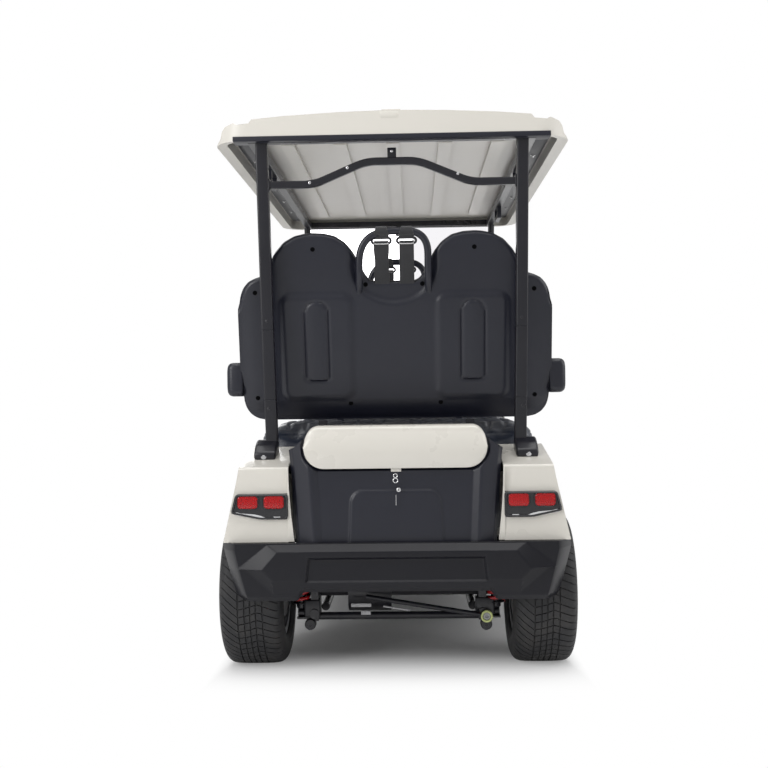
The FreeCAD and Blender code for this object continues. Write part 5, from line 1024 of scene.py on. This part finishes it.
def makeCushionForm(spec):
    low, high, rear, front = spec["low"], spec["high"], spec["rear"], spec["front"]
    half, halfY = spec["half"] - spec["side"], (front - rear) / 2 - spec["side"]
    middle = (rear + front) / 2
    rings = []
    for share in np.linspace(0, 1, 13):
        z = low - .004 + (high - .020 - low) * share
        pull = .006 * math.sin(math.pi * share) + .022 * max(share - .72, 0) ** 2 / .078 + .006 * (share < .04)
        rings.append([(x, middle + y, z) for x, y in roundedRing(half - pull, halfY - pull, spec["corner"], 8)])
    kit = newKit()
    loft(kit, rings)
    obj = plumped("cushionForm", kit, spec)
    x, y, z = vertsOf(obj).T
    a = np.abs(x)
    crown = ease(z, high - .035, high - .012)
    within = ease(y, rear + .035, rear + .055) * (1 - ease(y, front - .075, front - .06))
    between = (a < spec["seam"]) * (a > spec["middleSeam"])
    sewn = sewnLines([(a - line, within) for line in spec["channels"]],
                     [(a - spec["seam"], 1), (a - spec["middleSeam"], 1), (y - front + spec["frontSeam"], between),
                      (y - rear - spec["rearSeam"], between)])
    z = z - sewn * crown * spec["depth"]
    skirt = stitched(z - (high - spec["skirt"]), .0035) * (1 - crown)
    x = np.clip(x * (1 - skirt * .006), -spec["half"] - .002, spec["half"] + .002)
    y = np.clip(middle + (y - middle) * (1 - skirt * .012), rear + .0005, front + .004)
    z = np.clip(z, low, high + .006)
    obj.data.vertices.foreach_set("co", np.stack([x, y, z], 1).ravel())
    return obj


def makePadForm(spec, shell):
    margin, thick, edge = spec["margin"] + .004, spec["thick"], spec["edge"]
    half = shell["top"][-1][0] - spec["margin"] - .006
    xs = np.linspace(-1, 1, spec["columns"]) * half
    top = smoothLine(shell["top"], np.abs(xs) + .010) - margin
    bottom = smoothLine(shell["bottom"], np.abs(xs) + .012) + margin
    top = np.maximum(top, bottom + .05)
    across, ups = spanGrid(xs, bottom, top, spec["rows"])
    near = np.minimum(np.minimum(ups - bottom, top - ups), half - np.abs(across))
    roll = np.sqrt(np.clip(1 - np.clip(1 - near / spec["roll"], 0, 1) ** 2, 0, 1))
    front = -(edge + (thick - spec["swell"] - edge) * roll)
    kit = newKit()
    gridPanel(kit, leanedGrid(across, front, ups, 0), leanedGrid(across, np.full_like(front, -.004), ups, 0),
              *across.shape)
    obj = plumped("padForm", kit, spec)
    at = vertsOf(obj)
    lean, foot = shell["lean"], np.array([0, *shell["foot"]])
    back = np.array([0, math.cos(lean), math.sin(lean)])
    rise = np.array([0, -math.sin(lean), math.cos(lean)])
    ahead, up, x = (at - foot) @ back, (at - foot) @ rise, at[:, 0]
    a = np.abs(x)
    face = ease(ahead, thick - .030, thick - .012)
    tall = (1 - ease(up, .50, .515)) * ease(up, .085, .10)
    inner, outer = spec["inner"], spec["outer"]
    frameLine = roundedDistance(a - (inner + outer) / 2, up - spec["frameMiddle"], (outer - inner) / 2,
                                spec["frameHalf"], .05)
    sewn = sewnLines([(a - line, tall) for line in spec["channels"]],
                     [(frameLine, 1), (a - spec["wingSeam"], up < .5)])
    ahead = np.clip(ahead - sewn * face * spec["depth"], .0008, thick + .008)
    at = ahead[:, None] * back + up[:, None] * rise + foot
    at[:, 0] = np.clip(x, -spec["reach"], spec["reach"])
    obj.data.vertices.foreach_set("co", at.ravel())
    return obj


def placeSoft(form, name, shift, body, replaced):
    obj = placeObject(name, form.data.copy())
    obj.data.transform(Matrix.Translation((0, shift, 0)))
    obj.data.materials.clear()
    obj.data.materials.append(finishes["seatVinyl"])
    obj.data.shade_smooth()
    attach(obj, body)
    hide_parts(replaced)


cushionForm, padForm = makeCushionForm(cushionSpec), makePadForm(padSpec, backrest)
for row, shift in seatRows.items():
    placeSoft(cushionForm, row + "SeatCushion", shift, row + "_cushion_body", row + "_seat_cushion")
    placeSoft(padForm, row + "BackPad", shift, "chassis", row + "_backrest_pad")
for form in (cushionForm, padForm):
    bpy.data.objects.remove(form)
print("cushions and pads made")

# grab handles

handleSpec = {"half": .118, "top": .6605, "foot": .470, "depth": .0367, "radius": .0125, "corner": .115, "bend": .03,
              "spread": .004, "flange": [(.0215, -.006), (.0215, .001), (.0195, .003), (.0130, .003)]}


def makeHandle(row, shift, spec):
    kit = newKit()
    half, top, foot, depth, bend = (spec[k] for k in ("half", "top", "foot", "depth", "bend"))
    outer = half + spec["spread"]
    corners = [(-outer, foot - bend, .010), (-half, foot + bend, depth), (-half, top, depth), (half, top, depth),
               (half, foot + bend, depth), (outer, foot - bend, .010)]
    line = softened(corners, (0, bend, spec["corner"], spec["corner"], bend, 0), 12, backShare=.7)
    tubeRun(kit, [leaned(p.x, p.z, p.y, shift) for p in line], spec["radius"], 20)
    axis = leaned(0, 1, 0, shift) - leaned(0, 0, 0, shift)
    for side in (-1, 1):
        lathe(kit, spec["flange"], leaned(side * outer, .020, foot - .022, shift), axis, 28)
    finishPiece(row + "GrabHandle", kit, "blackMoulding", crease=50, replaced="grab_handles")


for row, shift in seatRows.items():
    makeHandle(row, shift, handleSpec)
print("grab handles made")

# rear posts with the bent bar

postSpec = {"x": .440, "footX": .424, "leanTop": 1.60, "half": .020, "footY": -1.290, "topY": -1.352, "top": 1.7912,
            "corner": .0055, "joints": (1.166, .928), "jointHalf": (.0010, .0022), "jointShare": .94,
            "creaseZ": .708, "fenderTop": .762, "creaseY": -1.462, "stepY": -1.225,
            "shoe": [(-1.376, -.003), (-1.262, 0), (-1.262, .034), (-1.300, .048), (-1.345, .041), (-1.376, .024)],
            "shoeSteps": [(.404, .006), (.407, .0015), (.410, 0), (.470, 0), (.474, .0015), (.477, .006)],
            "shoeBolt": (.444, -1.3748, .009), "dot": [(.0052, -.002), (.0052, .0014), (.0035, .0022)],
            "braceZ": 1.6554, "braceHalf": .0122, "end": .425, "bend": .265, "flat": .088, "rise": .074,
            "button": [(.0048, 0), (.0048, .0018), (.0030, .0026)],
            "buttons": ((-.278, .004, .0125), (.222, .026, .0125), (0, .108, .0025), (-.150, .052, .0125))}


def deckZ(y, spec):
    share = (y - spec["creaseY"]) / (spec["stepY"] - spec["creaseY"])
    return spec["creaseZ"] + (spec["fenderTop"] - spec["creaseZ"]) * share


def postLine(z, spec):
    low = deckZ(spec["footY"], spec)
    return spec["footY"] + (spec["topY"] - spec["footY"]) * (z - low) / (spec["top"] - low)


def makePosts(spec):
    kit, bright = newKit(), newKit()
    half, base = spec["half"], spec["braceZ"]
    (near, far), waist = spec["jointHalf"], spec["jointShare"]
    low = deckZ(spec["footY"] - half, spec) + .004
    heights = [(low, 1)]
    for joint in spec["joints"][::-1]:
        heights += [(joint - far, 1), (joint - near, waist), (joint + near, waist), (joint + far, 1)]
    heights.append((spec["top"], 1))
    section = roundedRing(half, half, spec["corner"], 5)
    rearward = (0, -1, 0)
    for side in (-1, 1):
        rings = []
        for z, shrink in heights:
            y = postLine(z, spec)
            across = side * (spec["footX"] + (spec["x"] - spec["footX"]) * min((z - low) / (spec["leanTop"] - low), 1))
            rings.append([(across + px * shrink, y + py * shrink, z) for px, py in section])
        loft(kit, rings)
        steppedPlate(kit, side, [(y, deckZ(y, spec) + up) for y, up in spec["shoe"]], spec["shoeSteps"], .010, 4)
        x, y, up = spec["shoeBolt"]
        boltHead(bright, (side * x, y, deckZ(-1.37, spec) + up), (0, -1, .2), .0062, .005)
        for z in (spec["joints"][0] + .030, spec["joints"][1] - .030):
            lathe(kit, spec["dot"], (side * .432, postLine(z, spec) - half, z), rearward, 14)
        softBox(kit, (side * .4165, postLine(base, spec), base), (.006, .034, .040), .003, .001)
    y, crest = postLine(base, spec), base + spec["rise"]
    right = [(spec["flat"], crest), (spec["bend"], base), (spec["end"], base)]
    line = softened([(-x, y, z) for x, z in right[::-1]] + [(x, y, z) for x, z in right], .035, 7)
    section = roundedRing(spec["braceHalf"], spec["braceHalf"], .0045, 4)
    loft(kit, [[p + sideways * px + lift * py for px, py in section] for p, sideways, lift in runAlong(line)])
    softBox(kit, (0, y, crest + .026), (.030, .005, .040), .004, .001)
    finishPiece("rearPostSet", kit, "blackSteel", crease=40, replaced="rear_posts")
    for px, up, out in spec["buttons"]:
        lathe(bright, spec["button"], (px, y - out, base + up), rearward, 14)
    finishPiece("rearPostBolts", bright, "brightMetal")


makePosts(postSpec)
print("rear posts made")

# roof edge strips, bolts and the wider moulding

roofSpec = {"inner": .489, "outer": .552, "widen": 1.022, "lip": -1.4006, "lipWidth": 1.06, "rear": -1.34,
            "front": .615, "z": 1.8365, "thick": .005, "boltYs": (-1.30, -.90, -.45, 0, .30, .57),
            "rearBolts": ((-.018, -1.3748, 1.803), (.018, -1.3748, 1.803)),
            "hanger": ((0, .610, 1.772), (.034, .008, .050)), "hangerBolt": (0, .605, 1.760),
            "block": ((-.006, -1.394, 1.874), (.062, .014, .022))}


def makeRoofStrips(spec):
    kit, block, bright = newKit(), newKit(), newKit()
    middle, rear, front, z = (spec["inner"] + spec["outer"]) / 2, spec["rear"], spec["front"], spec["z"]
    for side in (-1, 1):
        size = (spec["outer"] - spec["inner"], front - rear, spec["thick"])
        softBox(kit, (side * middle, (rear + front) / 2, z), size, .010, .0015)
        for y in spec["boltYs"]:
            boltHead(bright, (side * (middle + .006), y, z - .0024), (0, 0, -1), .0060, .006)
    for place in spec["rearBolts"]:
        boltHead(bright, place, (0, -1, 0), .0050, .004)
    softBox(kit, *spec["hanger"], .004, .001)
    boltHead(bright, spec["hangerBolt"], (0, -1, 0), .0065, .005)
    softBox(kit, (0, spec["lip"], 1.8015), (spec["lipWidth"], .003, .0155), .0015, .0006)
    softBox(kit, (0, spec["lip"] + .030, 1.7945), (spec["lipWidth"], .058, .003), .0015, .0006)
    softBox(block, *spec["block"], .003, .002)
    finishPiece("roofEdgeStrips", kit, "blackMoulding")
    finishPiece("roofRearBlock", block, "roofMoulding")
    finishPiece("roofBolts", bright, "brightMetal")


def makeWideRoof(spec):  # the moulding is a little wider than its solid
    obj = placeObject("roofMould", nodes["roof"].data.copy())
    for v in obj.data.vertices:
        v.co.x *= spec["widen"]
    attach(obj, "chassis")
    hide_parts("roof")


makeRoofStrips(roofSpec)
makeWideRoof(roofSpec)
print("roof strips made")

# rear shocks

shockSpec = {"x": .338, "y": -1.239, "low": .1863, "high": .425, "coil": .0265, "wire": .0058, "turns": 8.5,
             "perTurn": 26, "coilLow": .222, "coilHigh": .392,
             "eye": [(.0065, -.011), (.0125, -.011), (.0138, -.0095), (.0138, .0095), (.0125, .011), (.0065, .011)],
             "body": [(.010, .012), (.0165, .018), (.0165, .030), (.028, .032), (.030, .036), (.017, .038),
                      (.017, .125), (.015, .128), (.0075, .129), (.0075, .205), (.030, .207), (.031, .212),
                      (.012, .216), (.010, .228)]}


def makeRearShocks(spec):
    dark, red = newKit(), newKit()
    count = int(spec["turns"] * spec["perTurn"])
    for side in (-1, 1):
        x, y = side * spec["x"], spec["y"]
        for z in (spec["low"], spec["high"]):
            lathe(dark, spec["eye"], (x, y, z), (1, 0, 0), 24, True)
        lathe(dark, spec["body"], (x, y, spec["low"]), (0, 0, 1), 28)
        line = []
        for share in [k / count for k in range(count + 1)]:
            turn = 2 * math.pi * spec["turns"] * share
            line.append((x + spec["coil"] * math.cos(turn), y + spec["coil"] * math.sin(turn),
                         spec["coilLow"] + (spec["coilHigh"] - spec["coilLow"]) * share))
        tubeRun(red, line, spec["wire"], 10)
    finishPiece("rearShockBodies", dark, "blackSteel", replaced="rear_shocks")
    finishPiece("rearShockSprings", red, "redSteel")


makeRearShocks(shockSpec)
print("rear shocks made")

# latch and fender lips

latchSpec = {"y": -1.4955, "rings": ((.6800, .0062), (.6645, .0074)), "wire": .0017, "lock": (.010, .6335),
             "barrel": [(.0068, -.006), (.0068, .0022), (.0055, .0032), (.0050, .0032)],
             "slot": (.0016, .0012, .0072), "pull": (.618, .605, .592, .584), "pullX": .001}
fenderLip = {"outline": [(.3545, .704), (.3505, .704), (.3490, .640), (.3430, .560), (.3325, .4662), (.3545, .4662)],
             "ys": (-1.4778, -1.468), "bevel": .001}


def makeLatch(spec):
    bright, dark = newKit(), newKit()
    y = spec["y"]
    for z, radius in spec["rings"]:
        tubeRun(bright, [(px, y - .002, z + pz) for px, pz in circle(radius, 20)], spec["wire"], 8, True)
    x, z = spec["lock"]
    lathe(bright, spec["barrel"], (x, y + .002, z), (0, -1, 0), 24)
    # the key slot is a matte near-black block on the barrel face: painted shade for the dark inside the keyhole
    softBox(dark, (x, y - .0012, z), spec["slot"], .0005, .0002)
    tubeRun(bright, [(spec["pullX"], y - .0006, z) for z in spec["pull"]], .0011, 8)
    finishPiece("lidLatch", bright, "brightMetal")
    finishPiece("lidKeySlot", dark, "holeShadeBlack")


def makeFenderLips(spec):  # closes the rear face between each fender and the box
    kit = newKit()
    for side in (-1, 1):
        loft(kit, [[(side * x, y, z) for x, z in spec["outline"]] for y in spec["ys"]])
    finishPiece("fenderLips", kit, "bodyPaint", bevel=spec["bevel"])


makeLatch(latchSpec)
makeFenderLips(fenderLip)
print("latch and fender lips made")

# wheel nuts and valves

wheelSpec = {"ring": .0565, "face": .0168, "nuts": 5, "nut": .0088, "first": .31, "valve": (.1335, .030),
             "stem": [(.0042, 0), (.0042, .012), (.0030, .013), (.0030, .022), (.0036, .0222), (.0036, .029),
                      (.0028, .030)]}


def makeWheelFittings(end, name, side, spec):
    kit = newKit()
    centre, axis, nut = wheelCentre(end, side), Vector((side, 0, 0)), spec["nut"]
    for k in range(spec["nuts"]):
        turn = 2 * math.pi * k / spec["nuts"] + spec["first"]
        place = centre + Vector((side * spec["face"], spec["ring"] * math.sin(turn), spec["ring"] * math.cos(turn)))
        lathe(kit, [(nut * 1.15, -.004), (nut * 1.15, .001), (nut * .95, .0018)], place, axis, 20)
        lathe(kit, [(nut, .0016), (nut, .0115), (nut * .8, .0145)], place, axis, 6)
    reach, out = spec["valve"]
    lathe(kit, spec["stem"], centre + Vector((side * out, -reach, 0)), axis, 14)
    finishPiece(end + name.title() + "WheelNuts", kit, "brightMetal", "wheel_" + end + "_" + name)


for end, name, side in wheels:
    makeWheelFittings(end, name, side, wheelSpec)
print("wheel nuts and valves made")

# headlamp insides

headSpec = {"xs": (.350, .418), "y": 1.462, "z": .600,
            "bowl": [(.006, -.030), (.016, -.026), (.0245, -.014), (.0290, 0), (.0305, .0005), (.0305, -.003),
                     (.0255, -.016), (.010, -.031)],
            "bulb": [(.0045, -.030), (.0055, -.016), (.0035, -.010)],
            "strip": ((.384, 1.458, .5665), (.150, .006, .005)), "back": ((.385, 1.426, .600), (.160, .006, .072))}


def makeHeadInside(spec):
    kit, dark = newKit(), newKit()
    for side in (-1, 1):
        for x in spec["xs"]:
            place = (side * x, spec["y"], spec["z"])
            lathe(kit, spec["bowl"], place, (0, 1, 0), 32, True)
            lathe(kit, spec["bulb"], place, (0, 1, 0), 18)
        for target, key, radius, edge in ((kit, "strip", .002, .001), (dark, "back", .008, .002)):
            (x, y, z), size = spec[key]
            softBox(target, (side * x, y, z), size, radius, edge)
    finishPiece("headLampBowls", kit, "brightMetal", crease=60)
    finishPiece("headLampBacks", dark, "lampBlack")


makeHeadInside(headSpec)
print("headlamp insides made")

# armrests

armSpec = {"inner": .5396, "rear": -1.198, "base": .940, "top": 1.060, "length": .318, "thick": .052,
           "elbow": (.083, .114), "corner": .022,
           "steps": [(0, .004), (.002, .001), (.006, 0), (.036, 0), (.045, .0018), (.0515, .0060), (.0555, .0115),
                     (.0574, .0180)]}


def makeArmRests(spec):
    kit = newKit()
    base, top, under = spec["base"], spec["top"], spec["top"] - spec["thick"]
    low, high = spec["elbow"]
    steps = [(spec["inner"] + out, inset) for out, inset in spec["steps"]]
    for shift in seatRows.values():
        rear = spec["rear"] + shift
        end = rear + spec["length"]
        corners = [(rear, base), (rear + low, base), (rear + high, under), (end, under), (end, top), (rear, top)]
        for side in (-1, 1):
            steppedPlate(kit, side, corners, steps, spec["corner"], 6)
    finishPiece("armRestPads", kit, "blackMoulding", crease=60, replaced="armrests")


makeArmRests(armSpec)
print("armrests made")

# fittings under the rear end

underSpec = {"rod": ((-.1106, -1.284, .2480), (.280, -1.284, .1830), .0082),
             "blocks": ((-.299, .203, .056), (.299, .207, .066)), "blockY": -1.240, "blockSize": (.046, .058),
             "discs": ((-.3050, .1500, .0195), (.3020, .1465, .0200)), "discY": -1.258,
             "ring": (.3030, .1765, .0172, .0040), "ringY": -1.284, "eyeY": -1.279,
             "eye": [(.0130, -.030), (.0130, .002), (.0115, .004), (.0070, .004), (.0060, -.004)],
             "silver": ((-.128, .2170, .070, .012), (-.112, .1905, .034, .013)), "silverY": -1.277,
             "pipe": ((-.052, -1.279, .2130), (.038, -1.279, .1990))}


def makeUnderFittings(spec):
    dark, bright, mark = newKit(), newKit(), newKit()
    rearward = (0, -1, 0)
    start, end, radius = spec["rod"]
    tubeRun(dark, [start, end], radius, 18)
    for x, z, width in spec["blocks"]:
        softBox(dark, (x, spec["blockY"], z), (width, *spec["blockSize"]), .006, .003)
    for x, z, radius in spec["discs"]:
        lathe(dark, [(.006, -.016), (radius, -.016), (radius, .010), (radius * .85, .014), (.008, .014), (.008, .010),
                     (0, .010)], (x, spec["discY"], z), rearward, 28)
    x, z, radius, wire = spec["ring"]
    tubeRun(mark, [(x + px, spec["ringY"], z + pz) for px, pz in circle(radius, 28)], wire, 10, True)
    lathe(bright, spec["eye"], (x, spec["eyeY"], z), rearward, 24)
    for x, z, width, height in spec["silver"]:
        softBox(bright, (x, spec["silverY"], z), (width, .006, height), .003, .0015)
    tubeRun(bright, spec["pipe"], .0028, 10)
    finishPiece("rearUnderFittings", dark, "blackSteel")
    finishPiece("rearUnderMetal", bright, "greyMoulding")
    finishPiece("rearUnderMark", mark, "markPaint")


makeUnderFittings(underSpec)
print("fittings under the rear end made")

# softened edges of the plain CAD pieces

edgeWidths = {"rear_fender_left": .0025, "rear_fender_right": .0025, "front_cowl": .004, "dashboard": .004,
              "rocker_panels": .004, "front_bumper": .004, "rear_seat_base": .004, "front_seat_base": .003,
              "battery_pack": .006, "roof_frame": .002, "frame": .002, "pedals": .002}
for label, width in edgeWidths.items():
    whole = nodes[label].modifiers.new("joined", "WELD")
    whole.merge_threshold = 1e-5
    softenEdges(nodes[label], width, 35)
print("edges softened")
